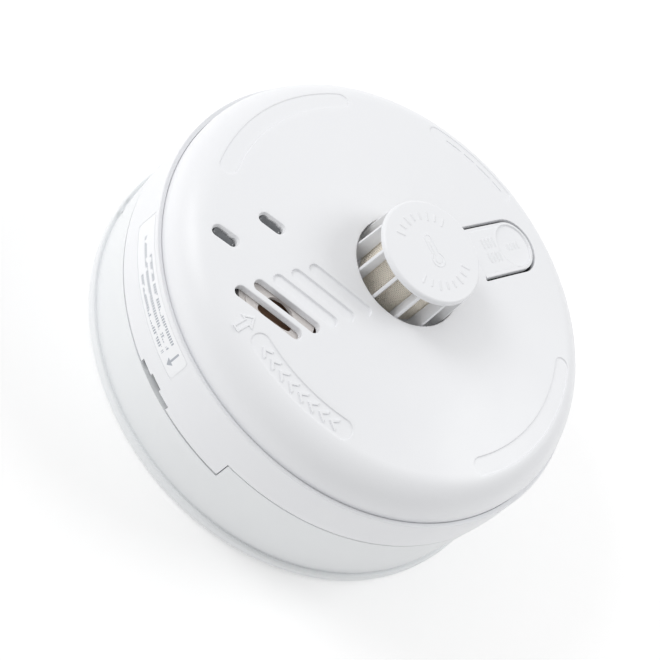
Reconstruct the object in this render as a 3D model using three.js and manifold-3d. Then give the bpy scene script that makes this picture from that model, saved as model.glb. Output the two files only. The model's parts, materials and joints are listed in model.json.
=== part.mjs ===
// Mains-powered heat alarm with a slide-off head: mounting plate, terminals, alarm head, sensor cage,
// test button, sounder and electronics. Units are millimetres. The plate's back face lies on z = 0, +Z is
// the axis towards the front, +X points to the test button, and the head slides off along +X.
import * as THREE from 'three';
import { mergeVertices } from 'three/addons/utils/BufferGeometryUtils.js';
import Module from 'manifold-3d';

const wasm = await Module();
wasm.setup();

// ---- driving dimensions -------------------------------------------------------------------------------
const SEGMENTS = 48; // facets round the big shells
const GAP = 0.3; // clearance between neighbouring pieces
const SKIN = 2; // wall thickness of the mouldings

const FLANGE_R = 70.5;
const FLANGE_Z = 3.3;
const FLOOR_Z = 2.2; // thickness of the plate's floor
const PLATE_R_LOW = 69.05; // plate wall where it meets the flange
const PLATE_R_TOP = 69.55;
const PLATE_INNER_R = 66.9;
const SPLIT_Z = 27.3; // top of the plate wall, where the head begins

const BAND_TOP_Z = 40; // ledge between the head's band and its domed cover
const BAND_TOP_R = 68.8;
const DOME_R = 67.3;
const FACE_EDGE_R = 58; // where the crowned face turns into the edge fillet
const FACE_MID_Z = 55.35; // height the crowned face would reach on the axis
const FACE_DROP = 4.14; // how far the face falls from the axis to its edge

const CAGE_R = 16.3; // outside of the cage's ribs
const CAGE_HOLE_R = 16.65; // round hole in the cover that the cage stands through
const CAGE_FOOT_R = [11, 18.6]; // the cage's foot ring, behind the cover
const CAGE_FOOT_Z = [47.5, 49];
const SCREEN_R = [11.6, 12.1];
const CAGE_TOP_R = 15.8;
const CAGE_RIB_COUNT = 12;
const CAP_Z = 65.2;
const TOP_Z = 67.5;

const SKIRT_Z = 21.2; // lower edge of the skirt that fills the plate's side cut-out
const SKIRT_GAP = 0.5; // between the skirt and the plate wall under it
const SKIRT_Y = [-29.3, 56.8]; // the skirt's two ends, cut parallel to the slide
const NOTCH_Y = [-8.8, 5.7]; // screwdriver notch in the skirt
const NOTCH_Z = 22.9;

const WINDOW_SLANT = THREE.MathUtils.degToRad(-58); // long axis of windows and sounder slots, from +X
const WINDOWS = { green_window: [-35.0, 23.1], red_window: [-49.8, 23.2] };
const SLOT_COUNT = 5;
const OPEN_SLOTS = 2; // the slots over the horn's mouth go right through
const SLOT_FIRST_X = -48.8;
const SLOT_PITCH = 5.95;
const SLOT_LENGTH = 17.5; // between the centres of its round ends
const SLOT_R = 1.7;

const BUTTON_HINGE_X = 27.8;
const BUTTON_TIP_X = 46.2; // centre of the round end
const BUTTON_HALF_WIDTH = 8;
const BUTTON_GAP = 0.7;
const SWITCH_X = 40;

const BOARD_Z = 33.6;
const BOARD_THICKNESS = 1.6;
const BOARD_R = 52.5;
const BOARD_CUT_Y = -18.5; // the board stops here to leave room for the battery
const ON_BOARD_Z = BOARD_Z + BOARD_THICKNESS + GAP;

const HORN_X = SLOT_FIRST_X + SLOT_PITCH * (SLOT_COUNT - 1) / 2;
const HORN_R = 17.5;
const DISC_Z = 41.5;

const POLE_PITCH = 9;
const POLE_COUNT = 3; // live, neutral and interconnect
const POLE_Z = 9.5; // height of the contact blades
const BLOCK_X = [-34, -10];

const BATTERY = { x: [-19.5, 29], y: [-46.5, -20], z: [30.1, 47.4] };

// ---- worked-out shapes of the cover -------------------------------------------------------------------
const faceZ = (r) => FACE_MID_Z - FACE_DROP * (r / FACE_EDGE_R) ** 2;
const EDGE_TILT = Math.atan(2 * FACE_DROP / FACE_EDGE_R);
const FILLET_R = (DOME_R - FACE_EDGE_R) / (1 - Math.sin(EDGE_TILT));
const FILLET_R_CENTRE = DOME_R - FILLET_R;
const FILLET_Z_CENTRE = faceZ(FACE_EDGE_R) - FILLET_R * Math.cos(EDGE_TILT);

// ---- materials ----------------------------------------------------------------------------------------
function finish(color, roughness, metalness = 0) {
  return new THREE.MeshStandardMaterial({ color, roughness, metalness });
}
const WHITE = finish('#f3f4f5', 0.42);
const WHITE_PLATE = finish('#eff0f1', 0.45);
const LABEL = finish('#f7f7f5', 0.6);
const TERMINAL = finish('#d9dad6', 0.5);
const GREY_PLASTIC = finish('#b9bcbb', 0.5);
const BLACK_PLASTIC = finish('#1d1e20', 0.5);
const BRASS = finish('#c9a557', 0.3, 1);
const STEEL = finish('#b8bcc0', 0.35, 1);
const MESH = finish('#c4beab', 0.6, 0.3);
const BOARD = finish('#2f6b45', 0.5);
const CERAMIC = finish('#4a3226', 0.45);
const BEAD = finish('#2a2320', 0.4);
const WINDOW = finish('#5d6368', 0.2);
const GREEN_LENS = finish('#7fbf86', 0.2);
const RED_LENS = finish('#c4544c', 0.2);
const BATTERY_SKIN = finish('#3c4650', 0.4);
const RED_WIRE = finish('#b3261e', 0.5);
const BLACK_WIRE = finish('#202022', 0.5);
const CAPACITOR = finish('#d6b13c', 0.5);
const VARISTOR = finish('#2c5fa0', 0.5);
const RESISTOR = finish('#c8b48a', 0.5);

// ---- helpers ------------------------------------------------------------------------------------------
// A closed geometry becomes a manifold solid that faces outwards.
function solid(geometry) {
  geometry.deleteAttribute('normal');
  geometry.deleteAttribute('uv');
  const merged = mergeVertices(geometry);
  const points = merged.attributes.position.array;
  const index = merged.index.array;
  const triangles = [];
  let volume = 0;
  const corner = [new THREE.Vector3(), new THREE.Vector3(), new THREE.Vector3()];
  for (let i = 0; i < index.length; i += 3) {
    const [a, b, c] = [index[i], index[i + 1], index[i + 2]];
    if (a === b || b === c || c === a) continue;
    [a, b, c].forEach((vertex, k) => corner[k].fromArray(points, 3 * vertex));
    volume += corner[0].dot(corner[1].cross(corner[2]));
    triangles.push([a, b, c]);
  }
  if (volume < 0) triangles.forEach((triangle) => triangle.reverse());
  const mesh = new wasm.Mesh({
    numProp: 3,
    vertProperties: new Float32Array(points),
    triVerts: new Uint32Array(triangles.flat()),
  });
  return new wasm.Manifold(mesh);
}

const cut = (body, ...tools) => tools.reduce((left, tool) => left.subtract(tool), body);
const join = (body, ...others) => others.reduce((sum, other) => sum.add(other), body);

function box([x0, x1], [y0, y1], [z0, z1]) {
  const geometry = new THREE.BoxGeometry(x1 - x0, y1 - y0, z1 - z0);
  geometry.translate((x0 + x1) / 2, (y0 + y1) / 2, (z0 + z1) / 2);
  return solid(geometry);
}

function cylinder([x, y], [z0, z1], r, facets = 20, topR = r) {
  const geometry = new THREE.CylinderGeometry(topR, r, z1 - z0, facets);
  geometry.rotateX(Math.PI / 2);
  geometry.translate(x, y, (z0 + z1) / 2);
  return solid(geometry);
}

// A cylinder whose axis runs along X.
function rod([x0, x1], [y, z], r, facets = 16) {
  const geometry = new THREE.CylinderGeometry(r, r, x1 - x0, facets);
  geometry.rotateZ(Math.PI / 2);
  geometry.translate((x0 + x1) / 2, y, z);
  return solid(geometry);
}

// A profile of [radius, height] points turned about the Z axis through centre.
function turned(profile, centre = [0, 0], facets = SEGMENTS) {
  const geometry = new THREE.LatheGeometry(profile.map(([r, z]) => new THREE.Vector2(r, z)), facets);
  geometry.rotateX(Math.PI / 2);
  geometry.translate(centre[0], centre[1], 0);
  return solid(geometry);
}

// A ring of rectangular section; its profile closes on itself.
function ring([r0, r1], [z0, z1], centre = [0, 0], facets = SEGMENTS) {
  return turned([[r0, z0], [r1, z0], [r1, z1], [r0, z1], [r0, z0]], centre, facets);
}

function prism(shape, [z0, z1], curveSegments = 6) {
  const geometry = new THREE.ExtrudeGeometry(shape, { depth: z1 - z0, bevelEnabled: false, curveSegments });
  geometry.translate(0, 0, z0);
  return solid(geometry);
}

// The outline of a slot with round ends, turned by an angle.
function slotShape([x, y], length, r, angle) {
  const shape = new THREE.Shape();
  const [dx, dy] = [Math.cos(angle) * length / 2, Math.sin(angle) * length / 2];
  shape.absarc(x + dx, y + dy, r, angle - Math.PI / 2, angle + Math.PI / 2);
  shape.absarc(x - dx, y - dy, r, angle + Math.PI / 2, angle + 3 * Math.PI / 2);
  return shape;
}

// The domed outside of the cover as a solid reaching down to baseZ, lowered and shrunk by an offset.
function domeSolid(offset, baseZ, filletSteps = 5) {
  const faceRadii = [0, 22, 42, FACE_EDGE_R];
  const profile = faceRadii.map((r) => [r, faceZ(r) - offset]);
  for (let step = 1; step <= filletSteps; step += 1) {
    const angle = (Math.PI / 2 - EDGE_TILT) * (1 - step / filletSteps);
    const r = FILLET_R - offset;
    profile.push([FILLET_R_CENTRE + r * Math.cos(angle), FILLET_Z_CENTRE + r * Math.sin(angle)]);
  }
  profile.push([DOME_R - offset, baseZ], [0, baseZ]);
  return turned(profile);
}

// A tool that removes a given depth below the domed face inside an outline.
function recess(shape, depth, curveSegments = 6) {
  return prism(shape, [FILLET_Z_CENTRE, TOP_Z], curveSegments).subtract(domeSolid(depth, 0));
}

// A round wire along a smooth curve through points.
function wire(points, r) {
  const path = new THREE.CatmullRomCurve3(points.map((point) => new THREE.Vector3(...point)));
  const section = new THREE.Shape().absarc(0, 0, r, 0, 2 * Math.PI);
  return solid(new THREE.ExtrudeGeometry(section, {
    steps: 16, bevelEnabled: false, extrudePath: path, curveSegments: 3,
  }));
}

// A pan-head screw on the Z axis, its head seated at headZ; up is +1 for a head at the top, -1 at the bottom.
function screw(headZ, { headR, headHeight, shankR, length, up = 1 }) {
  const reach = (z0, z1) => [Math.min(z0, z1), Math.max(z0, z1)];
  const head = cylinder([0, 0], reach(headZ, headZ + up * headHeight), headR, 14);
  const shank = cylinder([0, 0], reach(headZ + up * 0.1, headZ - up * length), shankR, 8);
  const driver = box([-headR * 0.7, headR * 0.7], [-headR * 0.14, headR * 0.14],
    reach(headZ + up * headHeight * 0.5, headZ + up * (headHeight + 1)));
  return join(head, shank).subtract(driver);
}

const group = new THREE.Group();
const plateGroup = new THREE.Group();
const headGroup = new THREE.Group();
group.add(plateGroup, headGroup);

// Adds one named mesh.
function add(parent, name, body, material, position = [0, 0, 0]) {
  const { vertProperties, triVerts } = body.getMesh();
  const geometry = new THREE.BufferGeometry();
  geometry.setAttribute('position', new THREE.BufferAttribute(vertProperties, 3));
  geometry.setIndex(new THREE.BufferAttribute(triVerts, 1));
  geometry.computeVertexNormals();
  const mesh = new THREE.Mesh(geometry, material);
  mesh.name = name;
  mesh.position.set(...position);
  parent.add(mesh);
}

// Adds one copy of a body at each place, numbered from 1.
function addCopies(parent, name, body, material, places) {
  places.forEach((place, i) => add(parent, `${name}_${i + 1}`, body, material, place));
}

const mirroredY = [-1, 1];
const polePositions = Array.from({ length: POLE_COUNT }, (_, i) => (i - (POLE_COUNT - 1) / 2) * POLE_PITCH);

// ---- mounting plate -----------------------------------------------------------------------------------
const RAIL = { x: 30, lipY: 50, postY: 53, outerY: 55, lipZ: [17.5, 19.7], topZ: 20.8 };
const CABLE_ENTRY = { x: [-54, -38], y: [-16, 14] };
const FIXING_Y = 30; // two fixing slots, 60 mm apart
const EAR_Y = 21.8; // fixing ears of the terminal block
const CATCH_X = [-65.9, -64.4];
const CATCH_Y = [-7.2, 4.2];

function mountingPlate() {
  const flangeRound = 1.2;
  const profile = [
    [0, 0], [FLANGE_R - flangeRound, 0], [FLANGE_R - flangeRound / 3, 0.35], [FLANGE_R, flangeRound],
    [FLANGE_R, FLANGE_Z - flangeRound], [FLANGE_R - flangeRound / 3, FLANGE_Z - 0.35],
    [FLANGE_R - flangeRound, FLANGE_Z], [PLATE_R_LOW, FLANGE_Z], [PLATE_R_TOP, SPLIT_Z],
    [PLATE_INNER_R, SPLIT_Z], [PLATE_INNER_R, FLOOR_Z], [0, FLOOR_Z],
  ];
  const wallTopUnderSkirt = SKIRT_Z - SKIRT_GAP;
  const sideCutout = box([-80, -30], [SKIRT_Y[0] - GAP, SKIRT_Y[1] + GAP], [wallTopUnderSkirt, 30]);
  const knockouts = [122.5, 127.5].map((degrees) => {
    const angle = THREE.MathUtils.degToRad(degrees);
    return cylinder([68.6 * Math.cos(angle), 68.6 * Math.sin(angle)], [FLANGE_Z, FLANGE_Z + 3], 1.3, 12);
  });
  const shell = cut(turned(profile), sideCutout, ...knockouts);
  const rails = mirroredY.map((side) => {
    const span = (y0, y1) => [Math.min(side * y0, side * y1), Math.max(side * y0, side * y1)];
    const post = box([-RAIL.x, RAIL.x], span(RAIL.postY, RAIL.outerY), [1, RAIL.topZ]);
    const lip = box([-RAIL.x, RAIL.x], span(RAIL.lipY, RAIL.postY + 0.5), RAIL.lipZ);
    return join(post, lip);
  });
  const earBosses = mirroredY.map((side) => cylinder([-22, side * EAR_Y], [1, 7.7], 2.8));
  const earHoles = mirroredY.map((side) => cylinder([-22, side * EAR_Y], [3, 9], 1.5, 12));
  const cableEntry = box(CABLE_ENTRY.x, CABLE_ENTRY.y, [-1, FLOOR_Z + 1]);
  const fixingSlots = mirroredY.map((side) => prism(slotShape([4, side * FIXING_Y], 8, 2.25, 0), [-1, 4]));
  return cut(join(shell, ...rails, ...earBosses), ...earHoles, cableEntry, ...fixingSlots);
}
add(plateGroup, 'mounting_plate', mountingPlate(), WHITE_PLATE);

// The sprung catch stands behind the skirt's notch; a screwdriver pushes it inwards.
const CATCH_PIVOT_Z = 3;
const CATCH_TOP_Z = 22.4;
function releaseCatch() {
  const tongue = box(CATCH_X, CATCH_Y, [CATCH_PIVOT_Z - 0.5, CATCH_TOP_Z]);
  const brace = box([CATCH_X[1] - 0.1, CATCH_X[1] + 1.4], [CATCH_Y[0] + 3, CATCH_Y[1] - 3], [5, 18]);
  const grooves = [0, 1, 2].map((row) => {
    const z = CATCH_TOP_Z - 0.9 - row * 1.1;
    return box([CATCH_X[0] - 1, CATCH_X[0] + 0.4], [CATCH_Y[0] - 1, CATCH_Y[1] + 1], [z - 0.25, z + 0.25]);
  });
  return cut(join(tongue, brace), ...grooves);
}
add(plateGroup, 'release_catch', releaseCatch(), GREY_PLASTIC);

// Terminal block: a channel right through for each pole, with a screw well above its clamp.
const CHANNEL = { width: 6.4, z: [5, 14] };
const CLAMP = { x: [-32, -25.6], width: 5.8, z: [5.3, 13.7] };
const CLAMP_X = (CLAMP.x[0] + CLAMP.x[1]) / 2;
function terminalBlock() {
  const body = box(BLOCK_X, [-17.5, 17.5], [FLOOR_Z + GAP, 17.8]);
  const ears = mirroredY.map((side) => cylinder([-22, side * EAR_Y], [8, 10.5], 2.8));
  const arms = box([-24.8, -19.2], [-EAR_Y, EAR_Y], [8, 10.5]);
  const holes = mirroredY.map((side) => cylinder([-22, side * EAR_Y], [7, 12], 1.5, 12));
  const channels = polePositions.map((y) => (
    box([-36, -8], [y - CHANNEL.width / 2, y + CHANNEL.width / 2], CHANNEL.z)));
  const wells = polePositions.map((y) => cylinder([CLAMP_X, y], [13, 19], 2.6));
  return cut(join(body, ...ears, arms), ...holes, ...channels, ...wells);
}
add(plateGroup, 'terminal_block', terminalBlock(), TERMINAL);

const atPoles = polePositions.map((y) => [0, y, 0]);
const clamp = cut(
  box(CLAMP.x, [-CLAMP.width / 2, CLAMP.width / 2], CLAMP.z),
  rod([-35, -20], [0, 8.2], 1.7, 12),
  cylinder([CLAMP_X, 0], [8.2, 15], 1.6, 12),
);
addCopies(plateGroup, 'terminal_clamp', clamp, BRASS, atPoles);

const TERMINAL_SCREW = { headR: 2.2, headHeight: 2.2, shankR: 1.3, length: 4 };
addCopies(plateGroup, 'terminal_screw', screw(14.4, TERMINAL_SCREW), STEEL,
  polePositions.map((y) => [CLAMP_X, y, 0]));

// Each pole's spring fork: two leaves joined at the back, which the head's blade runs between.
const fork = cut(
  box([-24.8, -11], [-1.6, 1.6], [6.2, 12.8]),
  box([-24, -10], [-1, 1], [6, 13]),
);
addCopies(plateGroup, 'contact_fork', fork, BRASS, atPoles);

const BLOCK_SCREW = { headR: 2.4, headHeight: 1.8, shankR: 1.2, length: 7 };
addCopies(plateGroup, 'terminal_block_screw', screw(10.5 + GAP, BLOCK_SCREW), STEEL,
  mirroredY.map((side) => [-22, side * EAR_Y, 0]));

function terminalCover() {
  const lid = box([BLOCK_X[0] - 1, BLOCK_X[1]], [-18.9, 18.9], [18.1, 19.3]);
  const sides = mirroredY.map((side) => {
    const [y0, y1] = [side * 17.8, side * 18.9];
    return box([BLOCK_X[0] - 1, BLOCK_X[1]], [Math.min(y0, y1), Math.max(y0, y1)], [13.2, 18.5]);
  });
  const screwHoles = polePositions.map((y) => cylinder([CLAMP_X, y], [17, 20], 1.9));
  return cut(join(lid, ...sides), ...screwHoles);
}
add(plateGroup, 'terminal_cover', terminalCover(), GREY_PLASTIC);

// ---- alarm head: rear housing -------------------------------------------------------------------------
const HEAD_Z = SPLIT_Z + GAP;
const HEAD_FLOOR_Z = HEAD_Z + SKIN;
const BAND_R = PLATE_R_TOP;
const RIM_INNER_R = DOME_R + 0.4;
const SEAT_Z = 33.6; // the cover's wall stands here
const BOSS_R = 58.5; // pitch radius of the four housing screws
const BOSS_ANGLES = [45, 135, 225, 315].map(THREE.MathUtils.degToRad);
const bosses = BOSS_ANGLES.map((angle) => [BOSS_R * Math.cos(angle), BOSS_R * Math.sin(angle)]);
const POST_Z = BOARD_Z - GAP;
const BOARD_POSTS = [[-46, -12], [34, 36]];
const HOOK = { x: [-20, 15], webY: [47.5, 49.5], footY: 52.4, z: [14.7, 17] };
const BATTERY_DOOR = { x: [-20.5, 30], y: [-47, -19] };
const CONNECTOR = { x: [-8, 10], y: [-15.5, 15.5], z: [5.5, POST_Z] };
const LABEL_ARC = { from: 145.7, to: 183, z: [29.8, 38.3] };

// The piece of a ring between two angles in degrees.
function ringSector([r0, r1], [z0, z1], from, to) {
  const [a, b] = [from, to].map(THREE.MathUtils.degToRad);
  const reach = 100;
  const wedge = new THREE.Shape([
    new THREE.Vector2(0, 0),
    new THREE.Vector2(reach * Math.cos(a), reach * Math.sin(a)),
    new THREE.Vector2(reach * Math.cos(b), reach * Math.sin(b)),
  ]);
  return ring([r0, r1], [z0, z1]).intersect(prism(wedge, [z0 - 1, z1 + 1]));
}

function rearHousing() {
  const profile = [
    [0, HEAD_Z], [BAND_R, HEAD_Z], [BAND_R - 0.1, HEAD_FLOOR_Z + 2], [BAND_TOP_R, BAND_TOP_Z - 0.7],
    [BAND_TOP_R - 0.25, BAND_TOP_Z - 0.15], [BAND_TOP_R - 0.6, BAND_TOP_Z], [RIM_INNER_R, BAND_TOP_Z],
    [RIM_INNER_R, SEAT_Z - GAP], [DOME_R - SKIN - 0.4, SEAT_Z - GAP], [DOME_R - SKIN - 0.4, HEAD_FLOOR_Z],
    [0, HEAD_FLOOR_Z],
  ];
  const skirt = ring([PLATE_R_TOP - 2.25, PLATE_R_TOP], [SKIRT_Z, HEAD_FLOOR_Z - 0.5])
    .intersect(box([-80, -30], SKIRT_Y, [SKIRT_Z - 1, HEAD_FLOOR_Z]));
  const notchMiddle = (NOTCH_Y[0] + NOTCH_Y[1]) / 2;
  const notch = box([-80, -60], NOTCH_Y, [SKIRT_Z - 1, NOTCH_Z]);
  const driverSeat = box([-80, -60], [notchMiddle - 2.4, notchMiddle + 2.4], [SKIRT_Z - 1, NOTCH_Z + 1]);
  const hooks = mirroredY.map((side) => {
    const span = (y0, y1) => [Math.min(side * y0, side * y1), Math.max(side * y0, side * y1)];
    const web = box(HOOK.x, span(...HOOK.webY), [HOOK.z[0], HEAD_Z + 1]);
    return join(web, box(HOOK.x, span(HOOK.webY[0], HOOK.footY), HOOK.z));
  });
  const bossPads = bosses.map((place) => cylinder(place, [HEAD_Z + 0.2, SEAT_Z - 0.6], 4.6));
  const posts = BOARD_POSTS.map((place) => cylinder(place, [HEAD_Z + 1, POST_Z], 2.4));
  const body = join(turned(profile), skirt, ...hooks, ...bossPads, ...posts);
  const counterbores = bosses.map((place) => cylinder(place, [HEAD_Z - 1, HEAD_Z + 3], 3.2));
  const screwHoles = bosses.map((place) => cylinder(place, [HEAD_Z, SEAT_Z], 1.7, 12));
  const postHoles = BOARD_POSTS.map((place) => cylinder(place, [POST_Z - 4, POST_Z + 1], 1.2, 12));
  const door = box(BATTERY_DOOR.x, BATTERY_DOOR.y, [HEAD_Z - 1, HEAD_FLOOR_Z + 0.1]);
  const connectorHole = box([CONNECTOR.x[0] - GAP, CONNECTOR.x[1] + GAP],
    [CONNECTOR.y[0] - GAP, CONNECTOR.y[1] + GAP], [HEAD_Z - 1, HEAD_FLOOR_Z + 1]);
  const labelBed = ringSector([BAND_R - 0.6, BAND_R + 1], [LABEL_ARC.z[0] - GAP, LABEL_ARC.z[1] + GAP],
    LABEL_ARC.from - 0.3, LABEL_ARC.to + 0.3);
  const roundHoles = [...counterbores, ...screwHoles, ...postHoles];
  return cut(body, notch, driverSeat, ...roundHoles, door, connectorHole, labelBed);
}
add(headGroup, 'rear_housing', rearHousing(), WHITE);

const label = ringSector([BAND_R - 0.3, BAND_R - 0.05], LABEL_ARC.z, LABEL_ARC.from, LABEL_ARC.to);
add(headGroup, 'side_label', label, LABEL);

function batteryDoor() {
  const panel = box([BATTERY_DOOR.x[0] + GAP, BATTERY_DOOR.x[1] - GAP],
    [BATTERY_DOOR.y[0] + GAP, BATTERY_DOOR.y[1] - GAP], [HEAD_Z, HEAD_FLOOR_Z - GAP]);
  const gripX = [BATTERY_DOOR.x[1] - 5, BATTERY_DOOR.x[1] - 3];
  const fingerGrip = box(gripX, [-40, -26], [HEAD_Z - 1, HEAD_Z + 0.6]);
  return cut(panel, fingerGrip);
}
add(headGroup, 'battery_door', batteryDoor(), WHITE);

// The head's connector hangs through the floor; its blades point to the terminal block.
const connectorBody = box(CONNECTOR.x, CONNECTOR.y, CONNECTOR.z);
const bladeSlots = polePositions.map((y) => box([CONNECTOR.x[0] - 1, -1], [y - 0.7, y + 0.7], [6.7, 12.3]));
add(headGroup, 'head_connector', cut(connectorBody, ...bladeSlots), TERMINAL);
const blade = box([-20, -1.3], [-0.4, 0.4], [POLE_Z - 2.5, POLE_Z + 2.5]);
addCopies(headGroup, 'connector_blade', blade, BRASS, atPoles);

const HOUSING_SCREW = { headR: 2.8, headHeight: 1.8, shankR: 1.3, length: 11, up: -1 };
addCopies(headGroup, 'housing_screw', screw(HEAD_Z + 2.7, HOUSING_SCREW), STEEL,
  bosses.map(([x, y]) => [x, y, 0]));

// ---- alarm head: front cover --------------------------------------------------------------------------
const slotPositions = Array.from({ length: SLOT_COUNT }, (_, i) => [SLOT_FIRST_X + i * SLOT_PITCH, 0]);

// The button's outline: a straight tongue with a round end.
function tongueShape(hingeX, halfWidth) {
  const shape = new THREE.Shape();
  shape.moveTo(hingeX, halfWidth);
  shape.lineTo(hingeX, -halfWidth);
  shape.absarc(BUTTON_TIP_X, 0, halfWidth, -Math.PI / 2, Math.PI / 2);
  return shape;
}

function frontCover() {
  const shell = cut(domeSolid(0, SEAT_Z), domeSolid(SKIN, SEAT_Z - 1, 3));
  const pillars = bosses.map((place) => cylinder(place, [SEAT_Z + 0.2, FILLET_Z_CENTRE + 8.4], 3.6));
  const pillarHoles = bosses.map((place) => cylinder(place, [SEAT_Z - 1, 43.5], 1.6, 12));
  const body = join(shell, ...pillars);
  const slots = slotPositions.map((place, i) => (i < OPEN_SLOTS
    ? prism(slotShape(place, SLOT_LENGTH, SLOT_R, WINDOW_SLANT), [40, TOP_Z], 6)
    : recess(slotShape(place, SLOT_LENGTH, SLOT_R, WINDOW_SLANT), 1.0, 6)));
  const windows = Object.values(WINDOWS).map((place) => (
    prism(slotShape(place, 4.5, 1.5, WINDOW_SLANT), [40, TOP_Z], 6)));
  const buttonHole = prism(tongueShape(BUTTON_HINGE_X, BUTTON_HALF_WIDTH + BUTTON_GAP), [40, TOP_Z], 10);
  const sensorHole = cylinder([0, 0], [40, TOP_Z], CAGE_HOLE_R, 36);
  return cut(body, ...pillarHoles, ...slots, ...windows, buttonHole, sensorHole);
}
add(headGroup, 'front_cover', frontCover(), WHITE);

Object.entries(WINDOWS).forEach(([name, place]) => {
  const r = Math.hypot(...place);
  const lens = prism(slotShape(place, 4.5, 1.2, WINDOW_SLANT), [faceZ(r) - 4, faceZ(r) - 0.8], 6);
  add(headGroup, name, lens, WINDOW);
});

// Sensor cage: a foot ring behind the cover, radial ribs through its round hole and a crowned cap.
function sensorCage() {
  const foot = ring(CAGE_FOOT_R, CAGE_FOOT_Z, [0, 0], 36);
  const ribs = Array.from({ length: CAGE_RIB_COUNT }, (_, i) => {
    const rib = new THREE.Shape([
      new THREE.Vector2(SCREEN_R[1] + GAP, CAGE_FOOT_Z[1] - 0.2),
      new THREE.Vector2(CAGE_R, CAGE_FOOT_Z[1] - 0.2),
      new THREE.Vector2(CAGE_R, faceZ(CAGE_R)),
      new THREE.Vector2(CAGE_TOP_R, CAP_Z + 0.2),
      new THREE.Vector2(SCREEN_R[1] + GAP, CAP_Z + 0.2),
    ]);
    const geometry = new THREE.ExtrudeGeometry(rib, { depth: 1, bevelEnabled: false });
    geometry.translate(0, 0, -0.5);
    geometry.rotateX(Math.PI / 2);
    geometry.rotateZ((i + 0.5) * 2 * Math.PI / CAGE_RIB_COUNT);
    return solid(geometry);
  });
  const cap = turned([
    [0, CAP_Z], [CAGE_TOP_R - 0.5, CAP_Z], [CAGE_TOP_R, CAP_Z + 0.5], [CAGE_TOP_R, TOP_Z - 1.1],
    [CAGE_TOP_R - 0.4, TOP_Z - 0.6], [CAGE_TOP_R - 1.1, TOP_Z - 0.35], [0, TOP_Z],
  ], [0, 0], 36);
  return join(foot, ...ribs, cap);
}
add(headGroup, 'sensor_cage', sensorCage(), WHITE);

add(headGroup, 'insect_screen', ring(SCREEN_R, [CAGE_FOOT_Z[1] + GAP, CAP_Z - GAP], [0, 0], 36), MESH);

// Thermistor bead on its two leads, standing in the middle of the cage.
const BEAD_Z = 61;
const beadLeads = mirroredY.map((side) => cylinder([side * 0.8, 0], [ON_BOARD_Z - BEAD_Z, 0], 0.35, 8));
const bead = cylinder([0, 0], [-1.8, 1.8], 1.6, 16, 1.1);
add(headGroup, 'thermistor', join(bead, ...beadLeads), BEAD, [0, 0, BEAD_Z]);
add(headGroup, 'thermistor_holder', ring([1.8, 3.4], [ON_BOARD_Z, ON_BOARD_Z + 8], [0, 0], 20), GREY_PLASTIC);

// ---- test button and its switch -----------------------------------------------------------------------
const STEM_Z = 45.3;
function testButton() {
  const tongue = prism(tongueShape(BUTTON_HINGE_X + GAP, BUTTON_HALF_WIDTH), [40, TOP_Z], 10)
    .intersect(cut(domeSolid(0, 42), domeSolid(SKIN, 41, 3)));
  const stem = cylinder([SWITCH_X, 0], [STEM_Z, faceZ(SWITCH_X) - SKIN / 2], 2.4, 16);
  const padX = 47;
  const padR = 6.6;
  const padDepth = 0.5;
  const padTilt = Math.atan(2 * FACE_DROP * padX / FACE_EDGE_R ** 2);
  const dishProfile = [[0, -padDepth], [padR / 2, -padDepth * 0.75], [padR, 0], [padR, 2], [0, 2]];
  const dish = turned(dishProfile, [0, 0], 24)
    .rotate([0, THREE.MathUtils.radToDeg(padTilt), 0])
    .translate([padX, 0, faceZ(padX)]);
  return join(tongue, stem).subtract(dish);
}
add(headGroup, 'test_button', testButton(), WHITE);

const SWITCH_TOP = ON_BOARD_Z + 3.8;
add(headGroup, 'switch_body', cut(
  box([-3, 3], [-3, 3], [0, 3.8]),
  cylinder([0, 0], [0.8, 5], 2, 16),
), BLACK_PLASTIC, [SWITCH_X, 0, ON_BOARD_Z]);
add(headGroup, 'switch_plunger', cylinder([0, 0], [SWITCH_TOP - 1.8, STEM_Z - GAP], 1.7, 16), BLACK_PLASTIC,
  [SWITCH_X, 0, 0]);

// ---- circuit board and its components -----------------------------------------------------------------
function circuitBoard() {
  const reachX = Math.sqrt(BOARD_R ** 2 - BOARD_CUT_Y ** 2);
  const start = Math.atan2(BOARD_CUT_Y, reachX);
  const outline = new THREE.Shape();
  outline.absarc(0, 0, BOARD_R, start, Math.PI - start);
  const board = prism(outline, [BOARD_Z, BOARD_Z + BOARD_THICKNESS], 48);
  return cut(board, ...BOARD_POSTS.map((place) => cylinder(place, [BOARD_Z - 1, ON_BOARD_Z + 1], 1.4, 12)));
}
add(headGroup, 'circuit_board', circuitBoard(), BOARD);
const BOARD_SCREW = { headR: 2.2, headHeight: 1.6, shankR: 0.9, length: 5 };
addCopies(headGroup, 'board_screw', screw(ON_BOARD_Z, BOARD_SCREW), STEEL,
  BOARD_POSTS.map(([x, y]) => [x, y, 0]));

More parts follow.
